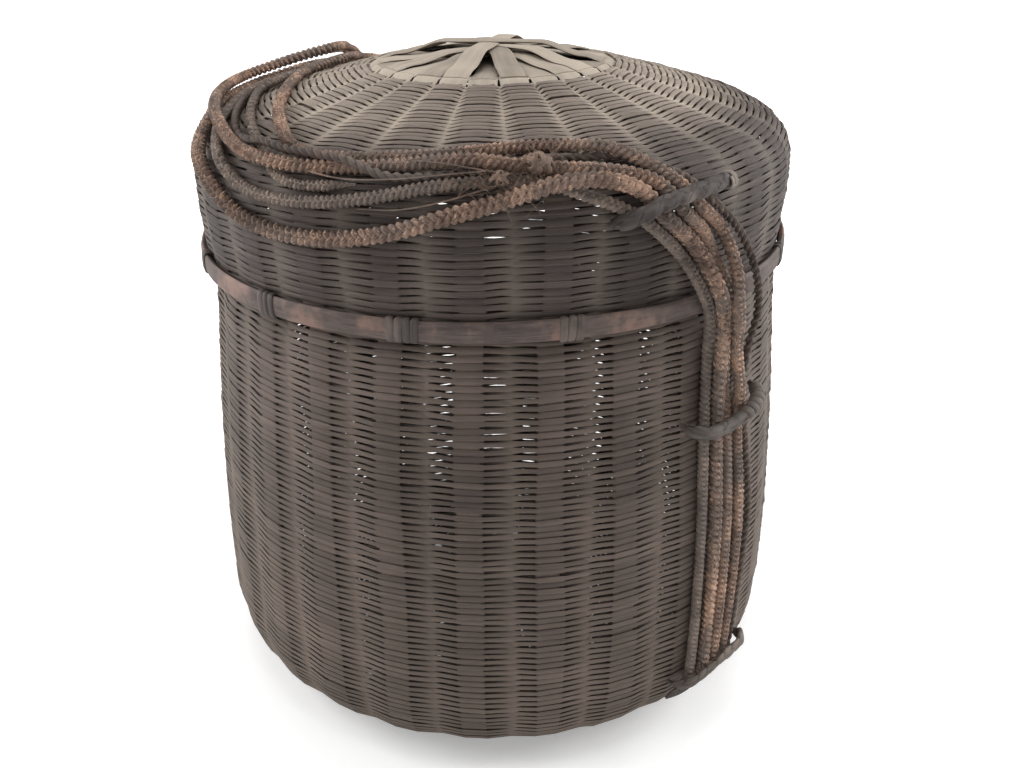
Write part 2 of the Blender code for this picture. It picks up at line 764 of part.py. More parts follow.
clear_scene()
basket = make_collection("Storage basket")
weave_dark = make_material("Dark twined grass", (0.12, 0.10, 0.08), 0.80)
weave_pale = make_material("Pale twined grass", (0.22, 0.19, 0.15), 0.80)
splint_grey = make_material("Grey splints", (0.38, 0.33, 0.26), 0.70)
band_brown = make_material("Brown rim wood", (0.12, 0.09, 0.07), 0.65)
lashing_tan = make_material("Tan lashings", (0.20, 0.15, 0.11), 0.75)
strap_brown = make_material("Brown straps", (0.16, 0.11, 0.08), 0.70)
cord_brown = make_material("Brown braid", (0.17, 0.10, 0.06), 0.85)
cord_grey = make_material("Grey braid", (0.20, 0.17, 0.13), 0.85)
cord_dark = make_material("Dark cord", (0.08, 0.055, 0.04), 0.85)

make_basket_weave()
make_base_star()
make_mouth_hoop()
make_lid_weave()
make_lid_band()
for number in range(stake_count // 2):
    make_lashing(number)
for place_in_stack, place_round in enumerate(splint_order):
    make_splint(place_in_stack, place_round)
for side, turn in (("right", 0), ("left", half_turn)):
    make_strap(f"shoulder_loop_{side}", shoulder_loop_route, turn)
    make_bar(f"middle_loop_{side}", middle_loop_route, turn)
    make_strap(f"base_loop_{side}", base_loop_route, turn)
make_strand("grey", grey_cord, grey_side_route, grey_handle_route, 1, cord_grey)
make_strand("outer", outer_braid, outer_side_route, outer_handle_route, 2, cord_brown)
make_strand("top", top_braid, top_side_route, top_handle_route, 0, cord_brown)
make_strand("inner", inner_braid, inner_side_route, inner_handle_route, -2, cord_brown)
make_strand("thin", thin_cord, thin_side_route, thin_handle_route, -1, cord_dark)
make_branch()
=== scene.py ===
from math import cos, degrees, hypot, pi, radians, sin
from random import Random

import bpy
from mathutils import Matrix, Vector, noise


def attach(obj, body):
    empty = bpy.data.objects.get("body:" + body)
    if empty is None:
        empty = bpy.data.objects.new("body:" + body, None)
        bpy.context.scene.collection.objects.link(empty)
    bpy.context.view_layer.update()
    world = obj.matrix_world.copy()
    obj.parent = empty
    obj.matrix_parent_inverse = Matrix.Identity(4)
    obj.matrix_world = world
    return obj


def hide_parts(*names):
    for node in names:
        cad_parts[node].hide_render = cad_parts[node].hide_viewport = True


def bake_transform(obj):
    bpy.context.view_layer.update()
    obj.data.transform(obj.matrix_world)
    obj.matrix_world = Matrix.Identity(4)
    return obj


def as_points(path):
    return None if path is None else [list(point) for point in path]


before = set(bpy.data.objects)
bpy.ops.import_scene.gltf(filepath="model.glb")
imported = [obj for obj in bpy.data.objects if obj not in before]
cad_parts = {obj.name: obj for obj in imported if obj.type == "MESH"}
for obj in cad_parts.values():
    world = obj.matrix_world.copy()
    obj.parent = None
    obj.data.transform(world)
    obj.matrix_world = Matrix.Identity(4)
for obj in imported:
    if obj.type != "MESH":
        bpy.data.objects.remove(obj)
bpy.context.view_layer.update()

scene = bpy.context.scene
print("frame loaded")

# camera, fitted to the outline of the basket in the photograph
view = {
    "place": (0, -0.7603, 0.5497),
    "pitch": 25.46,   # degrees down
    "yaw": 0.882,     # degrees to the right
    "lens": 38.67,
    "sensor": 36,
}


def makeCamera():
    data = bpy.data.cameras.new("view")
    data.sensor_width = view["sensor"]
    data.lens = view["lens"]
    data.dof.use_dof = False
    camera = bpy.data.objects.new("view", data)
    camera.location = view["place"]
    camera.rotation_euler = (radians(90 - view["pitch"]), 0, radians(-view["yaw"]))
    scene.collection.objects.link(camera)
    scene.camera = camera


makeCamera()
print("camera placed")

# the basket's form, as in the solid model
form = {
    "footRadius": 0.168,
    "bellyRadius": 0.2078,
    "bellyHeight": 0.100,
    "ledgeRadius": 0.1945,
    "ledgeHeight": 0.3075,
    "neckRadius": 0.1885,
    "mouthHeight": 0.360,
    "wall": 0.0045,
    "ringWidth": 0.043,
    "dish": 0.003,
    "footPower": 6.3,
    "sidePower": 1.6,
    "lean": 0.012,       # the right side stands higher than the left
    "lidRadius": 0.2015,
    "lidRise": 0.1322,
    "lidShift": 0.0015,
    "lidGap": 0.0003,
    "stakeCount": 26,
    "stakeWidth": 0.0155,
    "stakeTurn": -4.8,   # where the first stake of the body stands, in degrees
    "starRadius": 0.078,
    "lidTurn": -3.8,     # how far the lid has been put on turned
}
lidOutline = (
    (0.000, 1.000),
    (0.174, 0.981),
    (0.397, 0.917),
    (0.571, 0.849),
    (0.774, 0.762),
    (0.938, 0.663),
    (0.990, 0.557),
    (1.000, 0.395),
    (0.993, 0.206),
    (0.978, 0.000),
)
stakePitch = 360 / form["stakeCount"]
halfWall = form["wall"] / 2
lidBottom = form["ledgeHeight"] + form["lidGap"]
luck = Random(26)


def around(azimuth, radius, height):
    angle = radians(azimuth)
    return Vector((radius * sin(angle), -radius * cos(angle), height))


def leaned(point):
    share = min(max(point.z / form["ledgeHeight"], 0), 1)
    return Vector((point.x, point.y, point.z + form["lean"] * point.x * share))


def onLid(point):
    return leaned(point - Vector((form["lidShift"], 0, 0)))


def eased(share):
    clamped = min(max(share, 0), 1)
    return clamped * clamped * (3 - 2 * clamped)


def wallRadius(height):
    if height < form["bellyHeight"]:
        below = 1 - max(height, 0) / form["bellyHeight"]
        bulge = 1 - below ** form["footPower"]
        return form["footRadius"] + (form["bellyRadius"] - form["footRadius"]) * bulge
    above = (height - form["bellyHeight"]) / (form["ledgeHeight"] - form["bellyHeight"])
    return form["bellyRadius"] + (form["ledgeRadius"] - form["bellyRadius"]) * above ** form["sidePower"]


# one piece of a smooth curve through four points
def blendPoints(before, start, end, after, share):
    firstKnot = max((start - before).length, 0.0003) ** 0.5
    middleKnot = max((end - start).length, 0.0003) ** 0.5
    lastKnot = max((after - end).length, 0.0003) ** 0.5
    arriving = (start - before) / firstKnot - (end - before) / (firstKnot + middleKnot)
    leaving = (end - start) / middleKnot - (after - start) / (middleKnot + lastKnot)
    startSlope = (arriving + (end - start) / middleKnot) * middleKnot
    endSlope = (leaving + (after - end) / lastKnot) * middleKnot
    square = share * share
    cube = square * share
    return (
        start * (2 * cube - 3 * square + 1)
        + startSlope * (cube - 2 * square + share)
        + end * (3 * square - 2 * cube)
        + endSlope * (cube - square)
    )


def smoothCurve(points, steps):
    padded = [2 * points[0] - points[1], *points, 2 * points[-1] - points[-2]]
    curve = []
    for index in range(len(points) - 1):
        for step in range(steps):
            curve.append(blendPoints(*padded[index:index + 4], step / steps))
    curve.append(points[-1].copy())
    return curve


def runningLengths(points):
    lengths = [0]
    for start, end in zip(points, points[1:]):
        lengths.append(lengths[-1] + (end - start).length)
    return lengths


def pointAt(points, lengths, distance):
    for index in range(len(points) - 1):
        if distance <= lengths[index + 1]:
            span = lengths[index + 1] - lengths[index]
            return points[index].lerp(points[index + 1], (distance - lengths[index]) / span)
    return points[-1].copy()


# points at an even spacing along a stretch of a line
def evenPoints(points, start, end, spacing):
    lengths = runningLengths(points)
    count = max(round((end - start) / spacing), 2)
    found = []
    index = 0
    for step in range(count + 1):
        distance = start + (end - start) * step / count
        while index < len(points) - 2 and lengths[index + 1] < distance:
            index += 1
        span = lengths[index + 1] - lengths[index]
        found.append(points[index].lerp(points[index + 1], (distance - lengths[index]) / span))
    return found


def lidMeridian():
    corners = []
    for radiusShare, riseShare in lidOutline:
        corners.append(Vector((radiusShare * form["lidRadius"], 0, lidBottom + riseShare * form["lidRise"])))
    return smoothCurve(corners, 16)


lidLine = lidMeridian()
lidLengths = runningLengths(lidLine)


def lidPlace(share, lift):
    length = lidLengths[-1]
    nudge = length / len(lidLine)
    distance = min(max(share, 0), 1) * length
    place = pointAt(lidLine, lidLengths, distance)
    ahead = pointAt(lidLine, lidLengths, min(distance + nudge, length))
    behind = pointAt(lidLine, lidLengths, max(distance - nudge, 0))
    slope = (ahead - behind).normalized()
    return place + Vector((-slope.z, 0, slope.x)) * lift


def wallPlace(height, lift):
    nudge = form["ledgeHeight"] / len(lidLine)
    rise = wallRadius(height + nudge) - wallRadius(max(height - nudge, 0))
    slope = Vector((rise, 0, height + nudge - max(height - nudge, 0))).normalized()
    return Vector((wallRadius(height), 0, height)) + Vector((slope.z, 0, -slope.x)) * lift


# a point over the closed basket: level 0 at the crown, 1 at the lid's rim, 2 at the floor
def surfacePoint(azimuth, level, lift):
    if level <= 1:
        place = lidPlace(level, lift)
        return onLid(around(azimuth, place.x, place.z))
    place = wallPlace(form["ledgeHeight"] * (2 - level), lift)
    return leaned(around(azimuth, place.x, place.z))


# the way out of the basket at a point near its skin
def outwardAt(point):
    above = max(point.z - lidBottom, 0)
    flat = Vector((point.x, point.y, 0)) / form["lidRadius"] ** 2
    return (flat + Vector((0, 0, above / form["lidRise"] ** 2))).normalized()


# collects rings of points into one mesh, with what its material needs to know of each point:
# lay is how far along and around the fibre it is, and which fibre it is; tone and dust run from 0 to 1,
# and on the twining the dust value also carries painted light on the left and right flanks
class Making:
    def __init__(self):
        self.points = []
        self.faces = []
        self.lay = []
        self.tone = []
        self.dust = []

    def ring(self, points, along, fibre, tone, dust):
        start = len(self.points)
        count = len(points)
        for index, point in enumerate(points):
            self.points.append(point)
            self.lay.append((along, index / count, fibre))
            self.tone.append(tone)
            self.dust.append(dust)
        return start

    def join(self, first, second, count):
        for index in range(count):
            following = (index + 1) % count
            self.faces.append((first + index, first + following, second + following, second + index))

    def cap(self, start, count, backwards):
        corners = list(range(start, start + count))
        self.faces.append(tuple(reversed(corners)) if backwards else tuple(corners))

    # a tube of one section along centres, with two directions across it at each
    def tube(self, centres, outs, sides, section, fibre, tone, dust, closed=False):
        starts = []
        along = 0
        for index, centre in enumerate(centres):
            if index:
                along += (centre - centres[index - 1]).length
            shape = section(index) if callable(section) else section
            ring = [centre + outs[index] * out + sides[index] * side for out, side in shape]
            starts.append(self.ring(ring, along, fibre, tone, dust[index] if type(dust) is list else dust))
        count = len(shape)
        for first, second in zip(starts, starts[1:]):
            self.join(first, second, count)
        if closed:
            self.join(starts[-1], starts[0], count)
        else:
            self.cap(starts[0], count, True)
            self.cap(starts[-1], count, False)

    def finish(self, name, paint, body, slotName, replaced, sharp=50):
        data = bpy.data.meshes.new(name)
        data.from_pydata([tuple(point) for point in self.points], [], self.faces)
        lay = data.attributes.new("lay", "FLOAT_VECTOR", "POINT")
        lay.data.foreach_set("vector", [value for row in self.lay for value in row])
        for label, values in (("tone", self.tone), ("dust", self.dust)):
            layer = data.attributes.new(label, "FLOAT", "POINT")
            layer.data.foreach_set("value", values)
        data.shade_smooth()
        data.set_sharp_from_angle(angle=radians(sharp))
        data.materials.append(paint)
        piece = bpy.data.objects.new(name, data)
        scene.collection.objects.link(piece)
        if body:
            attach(piece, body)
        if replaced:
            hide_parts(*replaced)
        return piece


def ellipse(halfOut, halfSide, count, turn=0):
    corners = []
    for index in range(count):
        angle = 2 * pi * index / count + turn
        corners.append((halfOut * cos(angle), halfSide * sin(angle)))
    return corners


# directions out of the basket and across a line that lies on it, with a slow turn if wanted
def frames(line, turnAt=None):
    outs = []
    sides = []
    for index, point in enumerate(line):
        ahead = (line[min(index + 1, len(line) - 1)] - line[max(index - 1, 0)]).normalized()
        out = outwardAt(point)
        out = (out - ahead * out.dot(ahead)).normalized()
        if turnAt:
            out = Matrix.Rotation(turnAt(index), 3, ahead) @ out
        outs.append(out)
        sides.append(ahead.cross(out).normalized())
    return outs, sides


# one socket, with sums written as a person would write them
class Wire:
    def __init__(self, paint, socket):
        self.paint = paint
        self.socket = socket

    def sum(self, operation, left, right):
        return self.paint.add("ShaderNodeMath", {"operation": operation}, {0: left, 1: right})

    def __add__(self, other):
        return self.sum("ADD", self, other)

    def __radd__(self, other):
        return self.sum("ADD", other, self)

    def __sub__(self, other):
        return self.sum("SUBTRACT", self, other)

    def __rsub__(self, other):
        return self.sum("SUBTRACT", other, self)

    def __mul__(self, other):
        return self.sum("MULTIPLY", self, other)

    def __rmul__(self, other):
        return self.sum("MULTIPLY", other, self)

    def __truediv__(self, other):
        return self.sum("DIVIDE", self, other)

    def __pow__(self, other):
        return self.sum("POWER", self, other)


class Paint:
    def __init__(self, name):
        self.material = bpy.data.materials.new(name)
        self.material.use_nodes = True
        self.tree = self.material.node_tree
        self.shader = self.tree.nodes["Principled BSDF"]
        self.shader.inputs["Specular IOR Level"].default_value = 0.35

    # settings first, then the values or links of the sockets
    def add(self, kind, settings, sockets, output=0):
        node = self.tree.nodes.new(kind)
        for key, value in settings.items():
            if key == "stops":
                self.fillRamp(node.color_ramp, value)
            else:
                setattr(node, key, value)
        for key, value in sockets.items():
            self.plug(node.inputs[key], value)
        return Wire(self, node.outputs[output])

    def plug(self, socket, value):
        if isinstance(value, Wire):
            self.tree.links.new(value.socket, socket)
        else:
            socket.default_value = value

    def fillRamp(self, ramp, stops):
        while len(ramp.elements) < len(stops):
            ramp.elements.new(0.5)
        for element, (place, colour) in zip(ramp.elements, stops):
            element.position = place
            element.color = colour

    def attribute(self, name):
        return self.add("ShaderNodeAttribute", {"attribute_name": name}, {}, 1 if name == "lay" else 2)

    def place(self):
        return self.add("ShaderNodeTexCoord", {}, {}, 3)

    def stretched(self, vector, x, y, z):
        return self.add("ShaderNodeVectorMath", {"operation": "MULTIPLY"}, {0: vector, 1: (x, y, z)})

    def noise(self, vector, scale, detail=3, roughness=0.5):
        sockets = {"Vector": vector, "Scale": scale, "Detail": detail, "Roughness": roughness}
        return self.add("ShaderNodeTexNoise", {}, sockets)

    # 0 below low, 1 above high
    def step(self, value, low, high):
        settings = {"interpolation_type": "SMOOTHSTEP"}
        return self.add("ShaderNodeMapRange", settings, {"Value": value, "From Min": low, "From Max": high})

    def blend(self, factor, first, second, mode="MIX"):
        settings = {"data_type": "RGBA", "blend_type": mode, "clamp_factor": True}
        return self.add("ShaderNodeMix", settings, {0: factor, 6: first, 7: second}, 2)

    def bump(self, height, strength, distance):
        return self.add("ShaderNodeBump", {}, {"Strength": strength, "Distance": distance, "Height": height})

    def into(self, name, value):
        self.plug(self.shader.inputs[name], value)


# a colour written as it looks on a screen, turned linear
def colour(red, green, blue):
    linear = []
    for value in (red, green, blue):
        share = value / 255
        linear.append(share / 12.92 if share <= 0.04045 else ((share + 0.055) / 1.055) ** 2.4)
    return (*linear, 1)


# twined or split plant fibre: long streaks, a tone for each strand, and dust where it has settled;
# on the twining the same pale colour also stands for painted light on the left and right flanks
def fibrePaint(name, dark, light, dustAndSideLightColour, streaks, rough=0.72):
    paint = Paint(name)
    lay = paint.attribute("lay")
    tone = paint.attribute("tone")
    dust = paint.attribute("dust")
    streak = paint.noise(paint.stretched(lay, streaks["along"], streaks["around"], 7.3), 1, 4, 0.6)
    blotch = paint.noise(paint.place(), streaks["blotch"], 3, 0.6)
    shade = tone * 0.55 + streak * 0.5 + blotch * 0.5 - 0.28
    base = paint.blend(paint.step(shade, 0.15, 0.85), dark, light)
    fine = paint.noise(paint.stretched(lay, streaks["along"] * 0.4, streaks["around"] * 6, 3.1), 1, 2)
    base = paint.blend(paint.step(fine, 0.45, 0.78) * 0.25, base, dustAndSideLightColour)
    # pale dust, and on the twining also painted light: paler towards the left and right flanks as seen from
    # the front
    dustAndSideLightShare = dust * (blotch * 0.9 + streak * 0.5 + 0.3)
    paint.into("Base Color", paint.blend(dustAndSideLightShare, base, dustAndSideLightColour))
    paint.into("Roughness", rough + streak * 0.2 - 0.1)
    paint.into("Normal", paint.bump(streak + fine * 0.7, streaks["bump"], 0.0006))
    return paint.material


weaveStreaks = {"along": 60, "around": 5, "blotch": 14, "bump": 0.5}
bodyPaint = fibrePaint(
    "twined body", colour(50, 41, 38), colour(112, 97, 90), colour(124, 112, 100), weaveStreaks)
lidPaint = fibrePaint(
    "twined lid", colour(48, 39, 37), colour(106, 92, 87), colour(170, 157, 142), weaveStreaks)
stakePaint = fibrePaint(
    "stakes", colour(62, 50, 44), colour(106, 90, 82), colour(120, 108, 98), weaveStreaks)
splintPaint = fibrePaint(
    "splints", colour(104, 94, 83), colour(166, 154, 140), colour(176, 165, 150),
    {"along": 22, "around": 9, "blotch": 22, "bump": 0.4})
print("fibre paints mixed")

# the star of crossing splints, and how it is stacked, as in the solid model
star = {
    "radius": 0.078,
    "width": 0.0144,
    "thickness": 0.0006,
    "gap": 0.0004,
    "rise": 0.0008,
    "order": (6, 12, 4, 1, 9, 11, 3, 7, 10, 2, 8, 5, 0),
    "fullShare": 0.42,
    "thirdShare": 0.80,
    "endWidth": 0.0168,   # a splint widens towards its ends
    "tongueWidth": 0.0176,
    "step": 0.0004,       # how much higher its ends stand, twice that for every other splint
    "sink": 0.0019,       # how far it goes down under the first row
    "firstRow": 0.0030,   # how far outside the splints' ends the first row lies
}

# the twining, all in metres
twining = {
    "rowPitch": 0.0044,
    "stakeThick": 0.0018,
    "slit": 0.021,        # how far beside a stake its slits open, as a share of the pitch
    "wander": 0.0011,     # slow waves of the rows
    "loose": 0.00022,     # each stitch stands a little off its neighbours
}

# a strand's shape, one for each part of the basket
wallStrand = {
    "thick": 0.0007,      # half its thickness
    "depth": 0.0015,      # how far it stands off the middle of the wall
    "over": 0.00190,      # half its height over a stake, just beside it and in the valley
    "beside": 0.00140,
    "valley": 0.00166,
    "bow": 0,             # how far it bows over the middle of a stake
}
domeStrand = dict(wallStrand, depth=0.0014, over=0.00182, beside=0.00150, bow=0.0004)
lidWallStrand = dict(wallStrand, depth=0.0014, beside=0.00172, valley=0.00172)


# the middle line of the basket's wall, from the star in the floor up to the mouth
def wallMeridian():
    corners = [
        Vector((form["starRadius"], 0, form["dish"] + halfWall)),
        Vector((form["footRadius"] - form["ringWidth"], 0, halfWall)),
        Vector((form["footRadius"] - form["ringWidth"] * 0.4, 0, halfWall)),
    ]
    for height in (0.003, 0.010, 0.022, 0.045, 0.075, 0.11, 0.15, 0.19, 0.23, 0.27, 0.297):
        corners.append(wallPlace(height, -halfWall))
    inner = form["neckRadius"] - halfWall
    corners.append(Vector((inner + 0.0008, 0, form["ledgeHeight"] + 0.002)))
    corners.append(Vector((inner, 0, form["ledgeHeight"] + 0.012)))
    corners.append(Vector((inner, 0, form["mouthHeight"] - 0.001)))
    return smoothCurve(corners, 8)


# the middle line of the lid's skin, from the edge of its star down to the rim
def domeMeridian():
    line = []
    for step in range(121):
        place = lidPlace(step / 120, -halfWall)
        if place.x >= star["radius"]:
            line.append(place)
    return line


# a turn of the stakes that follows their slow wander up the wall
def stakeDrift(stake, height):
    return 0.9 * noise.noise(Vector((stake * 3.7, height * 9, 2.5)))


# half of a stake's share of the pitch at a radius
def stakeShare(radius):
    return min(degrees(form["stakeWidth"] / 2 / radius) / stakePitch, 0.42)


# one row of plain twining: two strands that change sides between one stake and the next
def twineRow(making, spot, place, turn, number, strandShape, tone, dustAndSideLightAt):
    centre, out, up, section = spot
    share = stakeShare(centre.x)
    beside = share + twining["slit"]
    spots = [(-0.5, "valley"), (-beside, "beside"), (-share, "over"), (share, "over"), (beside, "beside")]
    if strandShape["bow"]:
        spots.insert(3, (0, "over"))
    rowLuck = Random(number)
    for strand in (0, 1):
        strandTone = min(max(tone + rowLuck.gauss(0, 0.09), 0), 1)
        starts = []
        along = rowLuck.random() * 5
        for stake in range(form["stakeCount"]):
            side = 1 if (stake + strand) % 2 == 0 else -1
            stand = rowLuck.gauss(0, 1) * twining["loose"]
            slip = rowLuck.gauss(0, 1) * twining["loose"]
            for where, spotName in spots:
                away = max(abs(where) - share, 0) / (0.5 - share)
                azimuth = turn + (stake + where) * stakePitch + stakeDrift(stake + where, centre.z)
                angle = radians(azimuth)
                wave = noise.noise(Vector((sin(angle) * 5, cos(angle) * 5, centre.z * 25)))
                ripple = noise.noise(Vector((azimuth * 0.35, number * 1.7, strand * 9)))
                bulge = side * (1 - away) * (strandShape["depth"] + stand)
                if where == 0:
                    bulge += side * strandShape["bow"]
                crossing = -side * (1 if where > 0 else -1) * away * strandShape["valley"] * 0.3
                rise = crossing + wave * twining["wander"] + ripple * 0.0004 + slip * (1 - away)
                ring = []
                for thick, high in section:
                    outward = bulge + thick * strandShape["thick"]
                    upward = rise + high * strandShape[spotName]
                    radius = centre.x + out.x * outward + up.x * upward
                    height = max(centre.z + out.z * outward + up.z * upward, 0)
                    ring.append(place(Vector((radius * sin(angle), -radius * cos(angle), height))))
                # painted shade: where a strand runs behind a stake it is darkened and left without dust, so
                # the slits beside the stakes look dark
                inner = side < 0 and spotName != "valley"
                ringTone = strandTone * 0.2 if inner else strandTone
                dust = 0 if inner else dustAndSideLightAt(away, abs(sin(angle)))
                starts.append(making.ring(ring, along, number * 2 + strand, ringTone, dust))
                along += radians(stakePitch / len(spots)) * centre.x
        count = len(section)
        for first, second in zip(starts, starts[1:] + starts[:1]):
            making.join(first, second, count)


# a flat-faced strand with rounded edges, out and up as shares of its half size
strandSection = ((1.0, 0.45), (0.3, 1.0), (-0.92, 0.7), (-0.92, -0.7), (0.3, -1.0), (1.0, -0.45))
coarseSection = ((0.92, 0.6), (0, 1.0), (-0.92, 0), (0, -1.0), (0.92, -0.6))


# the rows between two distances along a meridian
def twineRows(making, line, flip, start, end, place, turn, seed, section, pitch, strandShape, toneAt, dustAndSideLightAt):
    lengths = runningLengths(line)
    count = max(round((end - start) / pitch), 1)
    for row in range(count):
        distance = start + (end - start) * (row + 0.5) / count
        centre = pointAt(line, lengths, distance)
        ahead = pointAt(line, lengths, min(distance + pitch, lengths[-1]))
        behind = pointAt(line, lengths, max(distance - pitch, 0))
        up = (ahead - behind).normalized()
        out = Vector((up.z, 0, -up.x)) * flip
        spot = (centre, out, up, section)
        twineRow(
            making, spot, place, turn, seed + row, strandShape, toneAt(distance),
            lambda away, flank: dustAndSideLightAt(distance, away, flank))


# the stakes: flat strips that follow the middle of the wall
stakeSection = ((1, 0.85), (1, -0.85), (0, -1), (-1, -0.85), (-1, 0.85), (0, 1))


def makeStakes(name, line, flip, place, turn, body, paint, replaced, slotName):
    making = Making()
    lengths = runningLengths(line)
    spots = evenPoints(line, 0, lengths[-1], 0.006)
    for stake in range(form["stakeCount"]):
        shade = luck.random()
        starts = []
        for index, centre in enumerate(spots):
            ahead = spots[min(index + 1, len(spots) - 1)] - spots[max(index - 1, 0)]
            up = ahead.normalized()
            out = Vector((up.z, 0, -up.x)) * flip
            half = radians(stakeShare(centre.x) * stakePitch) * centre.x
            angle = radians(turn + stake * stakePitch + stakeDrift(stake, centre.z))
            aside = Vector((cos(angle), sin(angle), 0))
            thick = twining["stakeThick"] / 2
            ring = []
            for outward, across in stakeSection:
                spot = centre + out * outward * thick
                middle = Vector((spot.x * sin(angle), -spot.x * cos(angle), spot.z))
                ring.append(place(middle + aside * across * half))
            starts.append(making.ring(ring, index * 0.006, stake * 3, shade, 0.3))
        for first, second in zip(starts, starts[1:]):
            making.join(first, second, 6)
        making.cap(starts[0], 6, True)
        making.cap(starts[-1], 6, False)
    return making.finish(name, paint, body, slotName, replaced, 40)


def makeBasketWeave():
    line = wallMeridian()
    lengths = runningLengths(line)
    turn = form["stakeTurn"]
    floorEnd = next(far for far, place in zip(lengths, line) if place.x > form["footRadius"] - 0.004)
    neckStart = next(far for far, place in zip(lengths, line) if place.z > form["ledgeHeight"] - 0.003)
    middle = (floorEnd + neckStart) / 2
    pitch = twining["rowPitch"]
    stretches = (
        ("floor_weave", 0.0005, floorEnd, coarseSection, 100, 1.08),
        ("wall_weave_lower", floorEnd, middle, strandSection, 200, 1),
        ("wall_weave_upper", middle, neckStart, strandSection, 300, 1),
        ("neck_weave", neckStart, lengths[-1], coarseSection, 400, 1.05),
    )

    def toneAt(distance):
        return 0.42 + 0.14 * noise.noise(Vector((distance * 30, 4, 0)))

    # dust lies lower down and in the valleys; the flank term is painted light, paler towards the left and
    # right sides as seen from the front
    def dustAndSideLightAt(distance, away, flank):
        low = 1 - eased((distance - floorEnd) / (neckStart - floorEnd))
        return 0.04 + 0.20 * low + 0.10 * flank + 0.20 * away * away

    for name, start, end, section, seed, spread in stretches:
        making = Making()
        twineRows(
            making, line, 1, start, end, leaned, turn, seed, section, pitch * spread, wallStrand, toneAt,
            dustAndSideLightAt)
        making.finish(name, bodyPaint, "basket", "weave_dark", ["basket_weave"])
    makeStakes("wall_stakes", line, 1, leaned, turn, "basket", stakePaint, ["basket_weave"], "weave_dark")
    print("basket twined")


def makeLidWeave():
    line = domeMeridian()
    lengths = runningLengths(line)
    pitch = twining["rowPitch"]
    shoulder = lengths[-1] - 0.105   # where the dome turns down into the lid's wall

    def wallShare(distance):
        return eased((distance - shoulder + 0.050) / 0.060)

    def toneAt(distance):
        return 0.5 - 0.30 * wallShare(distance)

    # pale dust in the valleys, and the dome paler than the wall below it; the flank term is painted light,
    # paler towards the dome's left and right sides as seen from the front
    def dustAndSideLightAt(distance, away, flank):
        wall = wallShare(distance)
        return (0.20 + 0.34 * flank) * (1 - wall) + (0.46 - 0.30 * wall) * away

    making = Making()
    turn = form["lidTurn"]
    stretches = (
        (star["firstRow"], shoulder, 500, domeStrand),
        (shoulder, lengths[-1], 600, lidWallStrand),
    )
    for start, end, seed, strandShape in stretches:
        twineRows(
            making, line, -1, start, end, onLid, turn, seed, strandSection, pitch, strandShape, toneAt,
            dustAndSideLightAt)
    making.finish("lid_twining", lidPaint, "lid", "weave_pale", ["lid_weave"])
    makeStakes("lid_stakes", line, -1, onLid, turn, "lid", stakePaint, ["lid_weave"], "weave_pale")
    print("lid twined")


def stackShare(radius):
    full = star["fullShare"] * star["radius"]
    third = star["thirdShare"] * star["radius"]
    outerThird = 1 - eased((radius - third) / (star["radius"] - third))
    innerRest = 1 - eased((radius - full) / (third - full))
    return (outerThird + 2 * innerRest) / 3


# a splint's crowned section: across as a share of half its width, up in thicknesses
splintSection = (
    (-1, 0), (-0.9, 0.8), (-0.45, 1.2), (0, 1.3), (0.45, 1.2), (0.9, 0.8), (1, 0), (0.8, -1.5), (-0.8, -1.5),
)


# a length of splint along a line from the middle of a star outwards
def splint(making, ahead, start, end, steps, widthAt, heightAt, place, number, shade, dust, flip):
    aside = Vector((-ahead.y, ahead.x, 0))
    thick = star["thickness"]
    starts = []
    for step in range(steps + 1):
        along = start + (end - start) * step / steps
        half = widthAt(along) / 2 * (1 + 0.05 * noise.noise(Vector((along * 30, number * 5, 0))))
        sway = 0.0009 * noise.noise(Vector((along * 18, number * 3, 6)))
        twist = 0.0003 * noise.noise(Vector((along * 25, number * 3, 9)))
        centre = ahead * along + aside * sway + Vector((0, 0, heightAt(along)))
        ring = []
        for across, up in splintSection:
            lift = (up * thick + across * twist) * flip
            ring.append(place(centre + aside * across * half + Vector((0, 0, lift))))
        starts.append(making.ring(ring, along, number, shade, dust))
    count = len(splintSection)
    for first, second in zip(starts, starts[1:]):
        making.join(first, second, count)
    making.cap(starts[0], count, True)
    making.cap(starts[-1], count, False)


# the height of the lid's skin at a radius
def lidHeight(radius):
    for before, after in zip(lidLine, lidLine[1:]):
        if before.x <= radius < after.x:
            return before.z + (after.z - before.z) * (radius - before.x) / (after.x - before.x)
    return lidLine[-1].z


def makeCrownStar():
    edge = lidHeight(star["radius"])
    for placeInStack, placeRound in enumerate(star["order"]):
        layer = len(star["order"]) - 1 - placeInStack
        ahead = around(placeRound * stakePitch + form["lidTurn"], 1, 0)
        reach = star["radius"] - (0.0030 if layer > 3 else 0.0010)

        def widthAt(along):
            wider = eased((abs(along) / star["radius"] - 0.35) / 0.55)
            return star["width"] + (star["endWidth"] - star["width"]) * wider

        def heightAt(along):
            radius = min(hypot(along, star["width"] / 2), star["radius"])
            stack = layer * (star["thickness"] + star["gap"]) * stackShare(radius)
            rise = star["rise"] * (1 - radius / star["radius"])
            nearEnd = eased((abs(along) / star["radius"] - 0.55) / 0.25)
            higher = star["step"] * (1 + placeRound % 2) * nearEnd
            return edge + rise + stack + higher - star["thickness"] * 1.1

        def tongueHeight(along):
            sink = star["sink"] * eased((along - star["radius"] + 0.001) / 0.005)
            return min(lidHeight(along), edge) - sink - 0.0004

        making = Making()
        shade = 0.15 + 0.7 * luck.random()
        splint(making, ahead, -reach, reach, 44, widthAt, heightAt, onLid, placeRound, shade, 0.2, 1)
        # its two ends go on, a step lower, under the first row
        for side in (-1, 1):
            splint(
                making, ahead * side, star["radius"] - 0.011, star["radius"] + 0.007, 8,
                lambda along: star["tongueWidth"], tongueHeight, onLid, placeRound + 40, 0.55, 0.45, 1)
        making.finish(
            f"crown_splint_{placeRound + 1}", splintPaint, "lid", "splint",
            [f"crown_splint_{placeRound + 1:02d}"], 35)
    print("crown star laid")


